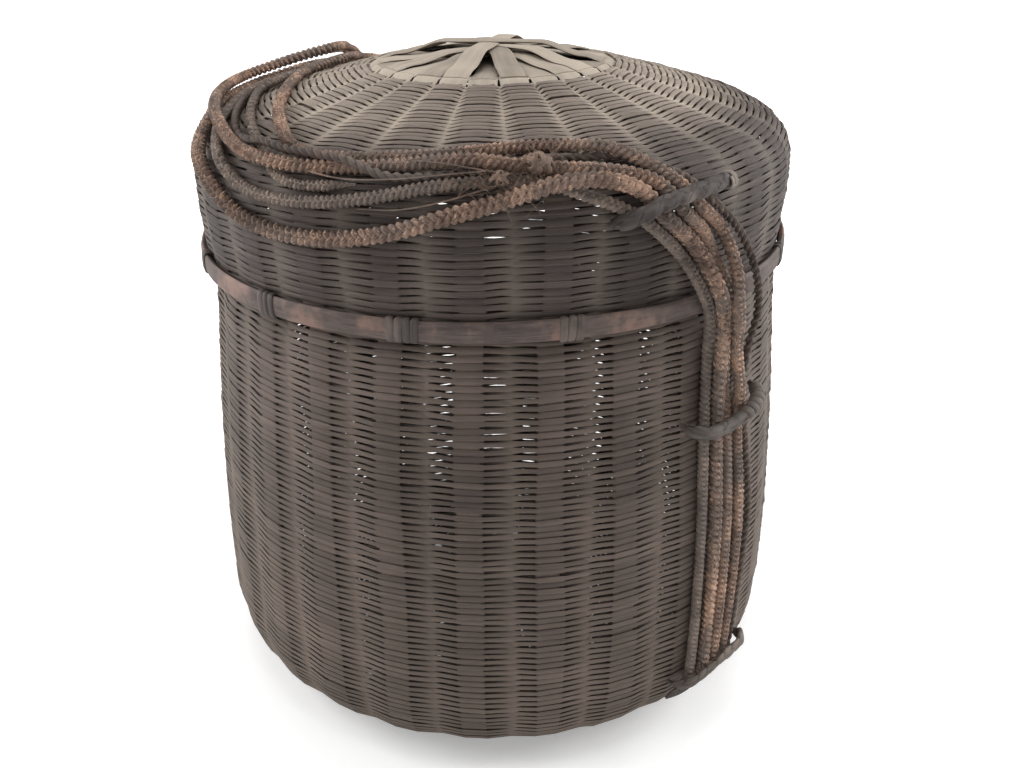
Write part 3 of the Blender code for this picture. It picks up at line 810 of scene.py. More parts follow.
def makeFloorStar():
    making = Making()
    reach = form["starRadius"] * 1.01
    for placeInStack, placeRound in enumerate(star["order"]):
        ahead = around(form["stakeTurn"] + placeRound * stakePitch, 1, 0)

        def heightAt(along):
            inner = 1 - eased((abs(along) / form["starRadius"] - 0.5) / 0.4)
            return form["dish"] + halfWall - 0.0009 + 0.00022 * placeInStack * inner

        shade = 0.2 + 0.4 * luck.random()
        splint(
            making, ahead, -reach, reach, 30, lambda along: star["width"], heightAt, leaned, placeRound,
            shade, 0.2, -1)
    making.finish("floor_star", stakePaint, "basket", "splint", ["base_star"], 35)
    print("floor star laid")


# cords, by diameter, and the routes that they take, as in the solid model: azimuth, level and cord layers
# the numbers were worked out from pixels picked in the photograph, through the fitted camera, and some
# were changed afterwards; the hidden side and the back are guessed
cords = {
    "outer": 0.0086,
    "top": 0.0075,
    "inner": 0.0070,
    "grey": 0.0066,
    "branch": 0.0058,
    "thin": 0.0045,
    "layer": 0.0075,
    "gap": 0.0003,
    "pitchShare": 1.60,   # length of one turn of the plait, in diameters
    "sample": 0.0013,
}
sideRoutes = {
    "grey": (
        (37.6, 1.865, 0.2), (37.8, 1.82, 0.2), (38.5, 1.51, 0.04), (38.5, 1.232, 0.04), (38.5, 1.079, 0.3),
        (37.4, 1.001, 1.0), (35.3, 0.938, 0.75), (31.0, 0.86, 0.3), (27.0, 0.81, 0.3), (22.5, 0.765, 0.3),
    ),
    "outer": (
        (40.8, 1.865, 0.2), (41.0, 1.82, 0.2), (42.0, 1.51, 0.03), (41.5, 1.244, 0.03), (41.1, 1.177, 0.3),
        (40.4, 1.082, 0.9), (39.6, 1.005, 1.35), (37.0, 0.935, 1.6), (34.0, 0.86, 0.6), (30.6, 0.81, 0.3),
        (26.3, 0.765, 0.3),
    ),
    "top": (
        (44.0, 1.865, 0.2), (44.2, 1.82, 0.2), (45.6, 1.51, 0.0), (44.5, 1.257, 0.0), (43.7, 1.18, 0.0),
        (43.5, 1.09, 0.1), (42.7, 1.016, 1.15), (40.9, 0.954, 1.05), (37.8, 0.88, 0.3), (34.2, 0.81, 0.3),
        (30.3, 0.765, 0.3),
    ),
    "inner": (
        (47.1, 1.865, 0.2), (47.5, 1.82, 0.2), (49.5, 1.51, 0.1), (47.8, 1.268, 0.1), (45.6, 1.18, 1.0),
        (43.8, 1.09, 1.25), (41.8, 1.02, 2.2), (40.5, 0.955, 2.2), (40.4, 0.893, 1.5), (38.0, 0.81, 0.3),
        (33.8, 0.765, 0.3),
    ),
    "thin": (
        (50.1, 1.865, 0.2), (50.5, 1.82, 0.2), (54.3, 1.51, 0.05), (50.9, 1.283, 0.05), (48.6, 1.205, 0.3),
        (50.2, 1.121, 0.5), (51.8, 1.049, 1.0), (51.0, 1.001, 1.3), (49.1, 0.936, 0.9), (45.4, 0.857, 0.3),
        (41.5, 0.81, 0.3), (37.2, 0.765, 0.3),
    ),
}

# the lanes on the left side: level, azimuth of the middle one, their spacing, and cord layers
laneProfile = (
    (1.865, 44.0, 3.15, 0.2),
    (1.82, 44.2, 3.15, 0.2),
    (1.51, 46.0, 3.9, 0.05),
    (1.25, 42.3, 2.9, 0.05),
    (1.19, 42.6, 3.0, 0.1),
    (1.11, 44.6, 3.7, 0.5),
    (1.02, 45.2, 4.3, 1.15),
    (0.96, 43.9, 4.1, 1.15),
    (0.86, 38.4, 3.7, 0.3),
    (0.81, 34.3, 3.65, 0.3),
    (0.765, 29.6, 3.7, 0.3),
)
farLanes = {"grey": 1, "outer": 2, "top": 0, "inner": -2, "thin": -1}
handleRoutes = {
    "grey": (
        (19.0, 0.742, 0.0), (15.0, 0.722, 0.0), (8.0, 0.692, 0.0), (0.7, 0.686, 0.0), (-8.0, 0.694, 0.0),
        (-20.0, 0.724, 0.0), (-31.0, 0.742, 0.0), (-43.0, 0.741, 0.0), (-54.0, 0.709, 0.1),
        (-67.0, 0.654, 0.1), (-80.0, 0.615, 0.0), (-92.0, 0.600, 0.0), (-105.0, 0.566, 0.0),
        (-116.0, 0.516, 0.0), (-128.0, 0.533, 0.0), (-137.0, 0.600, 0.0), (-144.3, 0.685, 0.2),
    ),
    "outer": (
        (23.4, 0.727, 0.3), (17.9, 0.708, 0.9), (11.0, 0.704, 0.95), (5.5, 0.714, 0.6), (0.0, 0.727, 0.0),
        (-6.0, 0.745, 0.0), (-16.8, 0.781, 0.0), (-29.0, 0.804, 0.0), (-42.7, 0.797, 0.0),
        (-52.5, 0.762, 0.0), (-63.0, 0.718, 0.2), (-78.0, 0.655, 0.1), (-92.0, 0.633, 0.0),
        (-105.0, 0.598, 0.0),
        (-116.0, 0.549, 0.0), (-126.0, 0.560, 0.0), (-134.8, 0.625, 0.1), (-140.6, 0.690, 0.35),
    ),
    "top": (
        (26.9, 0.716, 0.1), (23.0, 0.694, 0.1), (18.0, 0.676, 0.0), (9.5, 0.662, 0.0), (4.0, 0.660, 0.3),
        (-2.5, 0.657, 0.7), (-9.0, 0.652, 0.4), (-15.2, 0.657, 0.1), (-26.8, 0.672, 0.0), (-33.6, 0.686, 0.5),
        (-40.3, 0.690, 0.9), (-47.3, 0.682, 0.5), (-55.9, 0.667, 0.3), (-66.0, 0.650, 1.0),
        (-76.0, 0.637, 1.2), (-88.0, 0.628, 1.2), (-100.0, 0.615, 1.2), (-108.0, 0.560, 1.2),
        (-114.0, 0.500, 1.2), (-121.0, 0.470, 1.2), (-129.0, 0.500, 1.2), (-137.0, 0.570, 1.2),
        (-143.5, 0.640, 1.0), (-147.5, 0.700, 0.4),
    ),
    "inner": (
        (31.0, 0.725, 0.1), (25.5, 0.677, 0.4), (20.2, 0.639, 0.7), (13.2, 0.607, 0.3), (5.2, 0.592, 0.0),
        (-8.9, 0.617, 0.0), (-22.7, 0.640, 0.0), (-30.9, 0.648, 0.0), (-36.3, 0.643, 0.0),
        (-41.9, 0.622, 0.0), (-49.1, 0.582, 0.0), (-58.5, 0.541, 0.0), (-69.1, 0.502, 0.0),
        (-82.8, 0.472, 0.0), (-100.0, 0.458, 0.0), (-112.0, 0.433, 0.0), (-121.0, 0.430, 0.0),
        (-130.0, 0.470, 0.0), (-139.0, 0.540, 0.0), (-148.0, 0.615, 0.1), (-154.5, 0.695, 0.3),
    ),
    "thin": (
        (33.0, 0.715, 0.0), (28.0, 0.672, 0.0), (22.5, 0.640, 0.0), (16.0, 0.632, 0.0), (8.0, 0.630, 0.0),
        (2.0, 0.640, 0.0), (-4.0, 0.660, 0.0), (-10.0, 0.674, 0.0), (-17.0, 0.684, 0.4),
        (-24.0, 0.672, 1.1), (-30.0, 0.666, 1.1), (-38.0, 0.664, 1.0), (-44.0, 0.657, 1.0),
        (-50.0, 0.656, 0.5), (-56.0, 0.646, 0.0), (-63.0, 0.630, 0.0), (-74.0, 0.605, 0.0),
        (-88.0, 0.583, 0.0), (-102.0, 0.550, 0.0), (-116.0, 0.484, 0.0), (-129.0, 0.500, 0.0),
        (-138.0, 0.568, 0.0), (-145.5, 0.635, 0.1), (-150.7, 0.695, 0.25),
    ),
}
branchRoute = (
    (-22.0, 0.700, 0.0), (-27.5, 0.709, 0.0), (-33.6, 0.713, 0.0), (-38.5, 0.700, 0.0),
    (-43.6, 0.664, 0.0), (-51.7, 0.631, 0.0), (-63.0, 0.594, 0.0), (-74.0, 0.567, 0.0),
    (-90.0, 0.553, 0.0), (-100.0, 0.523, 0.0), (-107.0, 0.490, 0.0), (-113.0, 0.461, 0.0),
)
cordSlots = {"grey": "cord_grey", "thin": "cord_dark"}


# plaited plant cord: a tone for each ply, long streaks, and painted highlights where pale or orange fibres
# catch the light
def cordPaint(name, dark, light, glint, glintAmount):
    paint = Paint(name)
    lay = paint.attribute("lay")
    tone = paint.attribute("tone")
    streak = paint.noise(paint.stretched(lay, 160, 4, 5.7), 1, 4, 0.65)
    blotch = paint.noise(paint.place(), 45, 3, 0.6)
    fine = paint.noise(paint.stretched(lay, 420, 16, 9.1), 1, 2, 0.6)
    base = paint.blend(paint.step(tone * 0.35 + streak * 0.7 + blotch * 0.6 - 0.35, 0.1, 0.85), dark, light)
    faded = paint.step(paint.noise(paint.place(), 16, 2, 0.5), 0.42, 0.62) * 0.7
    base = paint.blend(faded, base, paint.blend(streak, colour(58, 51, 47), colour(134, 121, 113)))
    # painted highlight: pale or orange flecks where fibres catch the light
    wearAndGlint = paint.step(fine + blotch * 0.6 - 0.34, 0.50, 0.62) * glintAmount
    paint.into("Base Color", paint.blend(wearAndGlint, base, glint))
    paint.into("Roughness", 0.66 + streak * 0.15)
    paint.into("Normal", paint.bump(streak + fine * 0.6, 0.5, 0.0005))
    return paint.material


brownPaint = cordPaint("brown braid", colour(46, 36, 32), colour(144, 118, 103), colour(214, 174, 146), 0.6)
greyPaint = cordPaint("grey braid", colour(50, 43, 39), colour(138, 123, 113), colour(180, 160, 144), 0.4)
darkPaint = cordPaint("dark cord", colour(42, 35, 32), colour(100, 86, 78), colour(132, 112, 98), 0.35)
loosePaint = cordPaint("loose fibres", colour(58, 46, 40), colour(122, 102, 88), colour(190, 150, 122), 0.5)
cordPaints = {"outer": brownPaint, "top": brownPaint, "inner": brownPaint, "grey": greyPaint,
              "branch": greyPaint, "thin": darkPaint}


def routeCorners(route, diameter, turn):
    corners = []
    for azimuth, level, layers in route:
        lift = diameter / 2 + cords["gap"] + layers * cords["layer"]
        corners.append(surfacePoint(azimuth + turn, level, lift))
    return corners


def laneRoute(lane):
    route = []
    for level, middle, spacing, layers in laneProfile:
        route.append((middle + lane * spacing, level, layers))
    return route


# a plait of three flat plies that cross from side to side over and under each other, or a twist of two
def plait(making, line, diameter, plies, seed, tight=1.0, tuck=0):
    cordLuck = Random(seed)
    pitch = diameter * cords["pitchShare"] * tight
    slow = cordLuck.random() * 50
    outs, sides = frames(line, lambda index: 0.7 * noise.noise(Vector((index * 0.013, slow, 0))))
    lengths = runningLengths(line)
    flat = plies == 3
    halfOut = diameter * (0.34 if flat else 0.38)
    halfSide = diameter * (0.31 if flat else 0.38)
    swing = diameter * (0.28 if flat else 0.24)
    dive = diameter * 0.16

    # full size, except where the cord starts thin
    def sizeAt(index):
        return 0.3 + 0.7 * eased(lengths[index] / tuck) if tuck else 1

    for number in range(plies):
        phase = 2 * pi * number / plies
        centres = []
        for index, point in enumerate(line):
            angle = 2 * pi * lengths[index] / pitch + phase
            swell = 1 + 0.08 * noise.noise(Vector((lengths[index] * 60, slow, number)))
            swell *= sizeAt(index)
            if flat:
                offset = outs[index] * (dive * sin(2 * angle)) + sides[index] * (swing * sin(angle))
            else:
                offset = outs[index] * (swing * cos(angle)) + sides[index] * (swing * sin(angle))
            centres.append(point + offset * swell)
        plyTone = 0.3 + 0.5 * cordLuck.random()
        making.tube(
            centres, outs, sides, lambda index: ellipse(halfOut * sizeAt(index), halfSide * sizeAt(index), 6),
            seed * 5 + number * 1.7, plyTone, 0.0)


# short stray fibres that lift off a cord
def strayFibres(making, line, diameter, count, seed, reach=1.0):
    fibreLuck = Random(seed)
    outs, sides = frames(line)
    for number in range(count):
        index = fibreLuck.randrange(3, len(line) - 4)
        angle = fibreLuck.uniform(-1.6, 1.6)
        away = (outs[index] * cos(angle) + sides[index] * sin(angle)).normalized()
        ahead = (line[index + 1] - line[index - 1]).normalized() * fibreLuck.choice((-1, 1))
        root = line[index] + away * diameter * 0.40
        length = fibreLuck.uniform(0.003, 0.008) * reach
        lift = fibreLuck.uniform(0.04, 0.14)
        curl = fibreLuck.uniform(-0.2, 0.2)
        across = away.cross(ahead).normalized()
        spots = []
        for step in range(4):
            go = step / 3
            bend = (away * lift + across * curl) * length * go * go
            spots.append(root + ahead * length * go + bend)
        thin = 0.00013
        directions = [away] * 4
        crossings = [across] * 4
        making.tube(
            spots, directions, crossings,
            lambda step: ellipse(thin * (1 - step * 0.2), thin * (1 - step * 0.2), 3), number,
            fibreLuck.random(), 0.0)


def makeStrand(name, seed):
    diameter = cords[name]
    near = routeCorners(sideRoutes[name], diameter, 0)
    handle = routeCorners(handleRoutes[name], diameter, 0)
    far = routeCorners(laneRoute(farLanes[name])[::-1], diameter, 180)
    steps = 12
    line = smoothCurve(near + handle + far, steps)
    lengths = runningLengths(line)
    nearEnd = lengths[(len(near) - 1) * steps]
    farStart = lengths[(len(near) + len(handle)) * steps]
    plies = 2 if name == "thin" else 3
    tight = 1.6 if name == "thin" else 1.0
    stretches = (
        (f"side_right_{name}", f"side_cord_right_{name}", 0, nearEnd),
        (f"handle_{name}", f"handle_cord_{name}", nearEnd, farStart),
        (f"side_left_{name}", f"side_cord_left_{name}", farStart, lengths[-1]),
    )
    whole = evenPoints(line, 0, lengths[-1], cords["sample"])
    spacing = lengths[-1] / (len(whole) - 1)
    for index, (pieceName, node, start, end) in enumerate(stretches):
        part = whole[round(start / spacing):round(end / spacing) + 1]
        making = Making()
        plait(making, part, diameter, plies, seed + index, tight)
        strayFibres(making, part, diameter, round(len(part) * 0.35), seed + 50 + index)
        free = node.startswith("handle")
        slotName = cordSlots.get(name, "cord_brown")
        piece = making.finish(pieceName, cordPaints[name], "lid" if free else None, slotName, [node], 60)
        if free:
            tuple(part[0])
            end - start
            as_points(part)
        else:
            foot = part[0] if part[0].z < part[-1].z else part[-1]
            tuple(foot)
            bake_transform(piece)


def makeBranch():
    line = smoothCurve(routeCorners(branchRoute, cords["branch"], 0), 12)
    length = runningLengths(line)[-1]
    part = evenPoints(line, 0, length, cords["sample"])
    making = Making()
    plait(making, part, cords["branch"], 3, 71, 1.0, 0.018)
    strayFibres(making, part, cords["branch"], 90, 72)
    piece = making.finish("handle_branch", greyPaint, "lid", "cord_grey", ["handle_cord_branch"], 60)
    tuple(part[0])


# two frayed knots over the front cords: tight curls, and fibres that have come loose around them
knots = (
    {
        "azimuth": 7.5, "level": 0.667, "lift": 0.0095,
        "curls": 16, "radius": 0.0062, "fibres": 90, "spread": 0.011,
    },
    {
        "azimuth": 1.2, "level": 0.690, "lift": 0.0085,
        "curls": 9, "radius": 0.0042, "fibres": 140, "spread": 0.020,
    },
)
# a few single fibres that have come loose along the front cords: azimuth, level and lift
looseRoutes = (
    (
        (-33.0, 0.690, 0.0075), (-24.0, 0.700, 0.0085), (-15.0, 0.694, 0.0085), (-7.0, 0.684, 0.0090),
        (-1.0, 0.680, 0.0100),
    ),
    ((-21.0, 0.742, 0.0030), (-14.0, 0.738, 0.0035), (-7.0, 0.722, 0.0050), (0.5, 0.702, 0.0085)),
    ((-14.0, 0.655, 0.0080), (-8.0, 0.664, 0.0095), (-2.0, 0.676, 0.0095), (3.0, 0.684, 0.0090)),
)


def makeKnot(knot, number):
    heart = surfacePoint(knot["azimuth"], knot["level"], knot["lift"])
    out = outwardAt(heart)
    along = Vector((out.y, -out.x, 0)).normalized()
    upward = out.cross(along)
    knotLuck = Random(90 + number)
    making = Making()
    for curl in range(knot["curls"]):
        lean = 5 * pi * curl / knot["curls"] + knotLuck.uniform(-0.4, 0.4)
        first = (along * cos(lean) + upward * sin(lean)).normalized()
        tilt = knotLuck.uniform(-0.9, 0.9)
        second = (out * cos(tilt) + out.cross(first) * sin(tilt)).normalized()
        middle = heart + along * knotLuck.uniform(-0.5, 0.5) * knot["radius"]
        centres = []
        outs = []
        sides = []
        for step in range(22):
            angle = 2 * pi * step / 22
            away = first * cos(angle) + second * sin(angle) * 0.7
            centres.append(middle + away * knot["radius"] * (0.85 + 0.2 * sin(2 * angle + curl)))
            outs.append(away.normalized())
            sides.append(first.cross(second).normalized())
        thick = knot["radius"] * 0.17
        shade = knotLuck.random()
        making.tube(centres, outs, sides, ellipse(thick, thick * 1.5, 6), 60 + curl, shade, 0.0, closed=True)
    for fibre in range(knot["fibres"]):
        away = along * knotLuck.gauss(0, 0.6) + upward * knotLuck.gauss(0, 0.25)
        root = heart + away * knot["spread"] - out * knotLuck.uniform(0, 0.003)
        ahead = (along * knotLuck.uniform(-1, 1) + upward * knotLuck.uniform(-0.7, 0.7)).normalized()
        bend = (out * knotLuck.uniform(-0.3, 0.4) + upward * knotLuck.uniform(-0.8, 0.8)) * 0.6
        length = knotLuck.uniform(0.005, 0.015)
        spots = []
        for step in range(6):
            go = step / 5
            spots.append(root + ahead * length * go + bend * length * go * go)
        thin = knotLuck.uniform(0.00010, 0.00022)
        making.tube(
            spots, [out] * 6, [ahead.cross(out).normalized()] * 6, ellipse(thin, thin, 4), fibre,
            knotLuck.random(), 0.0)
    making.finish(f"frayed_knot_{number}", loosePaint, "lid", "cord_brown", [])


def makeLooseFibres():
    making = Making()
    for number, route in enumerate(looseRoutes):
        line = smoothCurve([surfacePoint(azimuth, level, lift) for azimuth, level, lift in route], 8)
        outs, sides = frames(line)
        making.tube(line, outs, sides, ellipse(0.0003, 0.0005, 5), 300 + number, 0.4, 0.0)
    making.finish("loose_fibres", loosePaint, "lid", "cord_brown", [])


for seed, name in enumerate(("grey", "outer", "top", "inner", "thin")):
    makeStrand(name, 10 + seed * 5)
makeBranch()
for number, knot in enumerate(knots):
    makeKnot(knot, number + 1)
makeLooseFibres()
print("cords plaited")

makeBasketWeave()
makeLidWeave()
makeCrownStar()
makeFloorStar()


# worn brown rod: grain along it, scuffed reddish spots on its face
def rodPaint(name, dark, light, wornColour, wornAmount, tape=0):
    paint = Paint(name)
    lay = paint.attribute("lay")
    tone = paint.attribute("tone")
    grain = paint.noise(paint.stretched(lay, 40, 6, 5.1), 1, 4, 0.65)
    scuff = paint.noise(paint.place(), 28, 4, 0.62)
    fleck = paint.noise(paint.place(), 260, 2, 0.6)
    base = paint.blend(paint.step(grain * 0.7 + tone * 0.3 + scuff * 0.3 - 0.2, 0.15, 0.8), dark, light)
    wearAndGlint = paint.step(scuff, 0.50, 0.66) * wornAmount * (fleck * 0.6 + 0.6)
    face = paint.blend(wearAndGlint, base, wornColour)
    height = grain + fleck * 0.3
    if tape:
        # painted shade: a dark line in the crease where each turn of the tape ends
        ahead = paint.add("ShaderNodeSeparateXYZ", {}, {0: lay})
        aroundLay = paint.add("ShaderNodeSeparateXYZ", {}, {0: lay}, 1)
        slant = paint.add("ShaderNodeMath", {"operation": "SINE"}, {0: aroundLay * 2 * pi})
        turns = ahead / tape + slant * 0.5 + grain * 0.12
        turn = paint.add("ShaderNodeMath", {"operation": "FRACT"}, {0: turns})
        creaseShade = paint.step(turn, 0.84, 0.97)
        face = paint.blend(creaseShade * 0.75, face, colour(22, 18, 16))
        height = height - creaseShade * 1.6
    paint.into("Base Color", face)
    paint.into("Roughness", 0.62 - wearAndGlint * 0.12 + grain * 0.12)
    paint.into("Normal", paint.bump(height, 0.5, 0.0006))
    return paint.material


bandPaint = rodPaint("rim rod", colour(52, 44, 42), colour(118, 103, 97), colour(140, 110, 97), 0.75)
lashPaint = rodPaint("flat lashing", colour(56, 50, 47), colour(104, 93, 88), colour(128, 113, 103), 0.4)
strapPaint = rodPaint(
    "wrapped strap", colour(50, 44, 42), colour(102, 93, 89), colour(132, 118, 110), 0.4, 0.0105)
barPaint = rodPaint(
    "bound bar", colour(56, 50, 46), colour(112, 102, 95), colour(136, 123, 113), 0.4, 0.026)
basePaint = rodPaint(
    "base strap", colour(58, 51, 47), colour(112, 101, 93), colour(136, 124, 112), 0.4, 0.0095)
palePaint = rodPaint(
    "pale binding rings", colour(84, 76, 69), colour(142, 130, 120), colour(164, 150, 137), 0.6)
tapePaint = rodPaint("pale binding", colour(66, 58, 53), colour(118, 107, 99), colour(142, 129, 117), 0.5)

band = {
    "bottom": lidBottom,
    "height": 0.0135,
    "thickness": 0.0037,
    "steps": 240,
    "clearance": 0.0003,
    "solidSides": 52,     # flat sides of the solid hoop, which the weave has to clear
    "lashWidth": 0.0046,
    "lashThickness": 0.0009,
    "lashReach": 1.04,    # how far apart the wraps of one lashing lie, in widths
    "wraps": (3, 3, 2, 3, 2, 3, 2, 3, 2, 3, 2, 3, 4),
}
mouthHoop = {
    "clearance": 0.0006,
    "halfOut": 0.0016,
    "halfHigh": 0.0044,
    "below": 0.0046,      # how far under the mouth its middle lies
    "inset": 0.0018,
    "steps": 130,
}


# the rim band's inner radius, as in the solid model
def bandInner():
    share = 1 - band["height"] / lidLengths[-1]
    return (lidPlace(share, 0).x + band["clearance"]) / cos(pi / band["solidSides"])


def makeBand():
    making = Making()
    inner = bandInner()
    middle = inner + band["thickness"] / 2
    starts = []
    for step in range(band["steps"]):
        azimuth = 360 * step / band["steps"]
        slack = noise.noise(Vector((azimuth * 0.05, 7, 1)))
        halfHigh = band["height"] / 2 * (0.95 + 0.05 * slack)
        halfThick = band["thickness"] / 2
        ring = []
        for index in range(12):
            angle = 2 * pi * index / 12
            outward = halfThick * (abs(cos(angle)) ** 0.7) * (1 if cos(angle) > 0 else -1.7)
            upward = halfHigh * (abs(sin(angle)) ** 0.8) * (1 if sin(angle) > 0 else -1)
            height = band["bottom"] + band["height"] / 2 + upward + slack * 0.0004
            ring.append(onLid(around(azimuth, middle + outward, height)))
        starts.append(making.ring(ring, radians(azimuth) * inner, 1, 0.5, 0))
    for first, second in zip(starts, starts[1:] + starts[:1]):
        making.join(first, second, 12)
    making.finish("rim_band", bandPaint, "lid", "rim_wood", ["lid_band"])


# one lashing: flat wraps laid round the band, side by side
def makeLashing(number):
    making = Making()
    wraps = band["wraps"][number]
    azimuth = (2 * number + 1) * stakePitch + luck.uniform(-1.5, 1.5)
    middle = bandInner() + band["thickness"] / 2
    spread = degrees(band["lashWidth"] / middle) * band["lashReach"]
    thick = band["lashThickness"]
    halfThick = band["thickness"] / 2 + thick * 0.3
    halfHigh = band["height"] / 2 + thick * 0.3
    line = []
    for step in range(15):
        angle = radians(-126 + 18 * step)
        outward = halfThick * abs(cos(angle)) ** 0.7 * (1 if cos(angle) > 0 else -2.2)
        upward = halfHigh * abs(sin(angle)) ** 0.8 * (1 if sin(angle) > 0 else -1)
        line.append(Vector((middle + outward, 0, band["bottom"] + band["height"] / 2 + upward)))
    for wrap in range(wraps):
        centre = azimuth + (wrap - (wraps - 1) / 2) * spread
        skew = luck.uniform(-0.6, 0.6)
        starts = []
        shade = luck.random()
        half = degrees(band["lashWidth"] / 2 / middle)
        section = ((-1, 0), (-0.75, 0.5), (0, 0.72), (0.75, 0.5), (1, 0), (0, -0.4))
        for index, spot in enumerate(line):
            ahead = (line[min(index + 1, len(line) - 1)] - line[max(index - 1, 0)]).normalized()
            normal = Vector((ahead.z, 0, -ahead.x))
            ring = []
            for across, up in section:
                here = spot + normal * up * thick
                turn = centre + across * half + skew * (index / len(line) - 0.5)
                ring.append(onLid(around(turn, here.x, here.z)))
            starts.append(making.ring(ring, index * 0.0016, number * 4 + wrap, shade, 0))
        for first, second in zip(starts, starts[1:]):
            making.join(first, second, 6)
        making.cap(starts[0], 6, True)
        making.cap(starts[-1], 6, False)
    making.finish(f"lashing_{number + 1}", lashPaint, "lid", "lashing", [f"band_lashing_{number + 1:02d}"])


def makeMouthHoop():
    making = Making()
    outer = form["neckRadius"] - form["wall"] - mouthHoop["clearance"]
    starts = []
    for step in range(mouthHoop["steps"]):
        azimuth = 360 * step / mouthHoop["steps"]
        ring = []
        for outward, upward in ellipse(mouthHoop["halfOut"], mouthHoop["halfHigh"], 10):
            height = form["mouthHeight"] - mouthHoop["below"] + upward
            ring.append(leaned(around(azimuth, outer - mouthHoop["inset"] + outward, height)))
        starts.append(making.ring(ring, radians(azimuth) * outer, 2, 0.4, 0))
    for first, second in zip(starts, starts[1:] + starts[:1]):
        making.join(first, second, 10)
    making.finish("mouth_rod", bandPaint, "basket", "rim_wood", ["mouth_hoop"])


makeBand()
for number in range(form["stakeCount"] // 2):
    makeLashing(number)
makeMouthHoop()
print("rim bound")

# the loops that hold the cords
loops = {
    "strapThickness": 0.0022,
    "bar": 0.0084,
    "clearance": 0.0034,
    "tuck": 0.62,
}
loopRoutes = {
    "shoulder": (
        (18.4, 0.770, 0.0), (19.6, 0.766, 0.7), (21.5, 0.759, 1.0), (25.5, 0.748, 1.0),
        (33.5, 0.738, 1.0), (37.8, 0.734, 0.9), (40.2, 0.734, 0.6), (42.3, 0.739, 0.0),
    ),
    "middle": (
        (33.6, 1.224, -0.10), (33.8, 1.229, 0.55), (35.2, 1.234, 1.0), (39.5, 1.239, 1.0),
        (43.5, 1.235, 1.0), (48.0, 1.225, 1.0), (51.2, 1.215, 0.7), (53.6, 1.208, 0.0),
    ),
    "base": (
        (34.0, 1.856, 0.0), (34.4, 1.848, 0.6), (36.0, 1.840, 1.0), (40.4, 1.835, 1.0),
        (45.5, 1.828, 1.0), (50.5, 1.826, 1.0), (53.0, 1.834, 0.6), (54.6, 1.848, -0.05),
    ),
}


def loopLine(route, thickness, turn):
    low = cords["gap"] + loops["tuck"] * thickness / 2
    full = cords["outer"] + loops["clearance"] + thickness / 2
    corners = []
    for azimuth, level, liftShare in route:
        corners.append(surfacePoint(azimuth + turn, level, low + (full - low) * liftShare))
    return smoothCurve(corners, 12)


# a strap or bar bound with tape: each turn of the tape overlaps the one before it
def boundRod(making, line, halfOut, halfSide, tape, ridge, tone, fibre, twist=0, tip=0.004):
    length = runningLengths(line)[-1]
    spots = evenPoints(line, 0, length, 0.0012)
    spacing = length / (len(spots) - 1)
    outs, sides = frames(spots, lambda index: twist * noise.noise(Vector((index * spacing * 60, fibre, 0))))

    def section(index):
        taper = min(index, len(spots) - 1 - index) * spacing
        small = 0.5 + 0.5 * eased(taper / tip)
        corners = []
        for corner in range(14):
            angle = 2 * pi * corner / 14
            turn = index * spacing / tape + 0.5 * sin(angle)
            over = 1 + ridge * (0.5 - (turn % 1) ** 3)
            corners.append((halfOut * cos(angle) * over * small, halfSide * sin(angle) * over * small))
        return corners

    making.tube(spots, outs, sides, section, fibre, tone, 0.0)


# a few tight rings of binding round a line
def bindingRings(making, line, at, radiusOut, radiusSide, turns, tape, fibre, tone):
    lengths = runningLengths(line)
    middle = lengths[-1] * at
    steps = 14
    spots = []
    for step in range(turns * steps + 1):
        share = step / (turns * steps) - 0.5
        distance = min(max(middle + share * turns * tape, 0), lengths[-1])
        centre = pointAt(line, lengths, distance)
        following = pointAt(line, lengths, min(distance + 0.002, lengths[-1]))
        ahead = (following - pointAt(line, lengths, max(distance - 0.002, 0))).normalized()
        out = outwardAt(centre)
        out = (out - ahead * out.dot(ahead)).normalized()
        side = ahead.cross(out)
        angle = 2 * pi * step / steps
        spots.append((centre + out * radiusOut * cos(angle) + side * radiusSide * sin(angle), ahead,
                      (out * cos(angle) + side * sin(angle)).normalized()))
    centres = [spot[0] for spot in spots]
    making.tube(centres, [spot[2] for spot in spots], [spot[1] for spot in spots],
                ellipse(0.0007, tape * 0.52, 7), fibre, tone, 0.0)


# how each loop is bound, and the rings of binding on it
loopKinds = {
    "shoulder": {
        "piece": "shoulder_strap", "paint": strapPaint, "body": "lid",
        "thickness": loops["strapThickness"],
        "rod": {
            "halfOut": 0.0029, "halfSide": 0.0043, "tape": 0.0120, "ridge": 0.30, "tone": 0.3, "fibre": 3,
            "twist": 1.3, "tip": 0.005,
        },
        "ringPaint": palePaint,
        "rings": {
            "at": 0.86, "radiusOut": 0.0038, "radiusSide": 0.0049, "turns": 3, "tape": 0.0032, "fibre": 5,
            "tone": 0.8,
        },
    },
    "middle": {
        "piece": "middle_bar", "paint": barPaint, "body": "basket",
        "thickness": loops["bar"],
        "rod": {
            "halfOut": 0.0039, "halfSide": 0.0039, "tape": 0.013, "ridge": 0.16, "tone": 0.5, "fibre": 7,
            "twist": 0.6, "tip": 0.012,
        },
        "ringPaint": tapePaint,
        "rings": {
            "at": 0.74, "radiusOut": 0.0041, "radiusSide": 0.0041, "turns": 6, "tape": 0.0056, "fibre": 8,
            "tone": 0.4,
        },
    },
    "base": {
        "piece": "base_strap", "paint": basePaint, "body": "basket",
        "thickness": loops["strapThickness"],
        "rod": {
            "halfOut": 0.0021, "halfSide": 0.0037, "tape": 0.0095, "ridge": 0.26, "tone": 0.5, "fibre": 9,
            "twist": 0.9, "tip": 0.008,
        },
    },
}


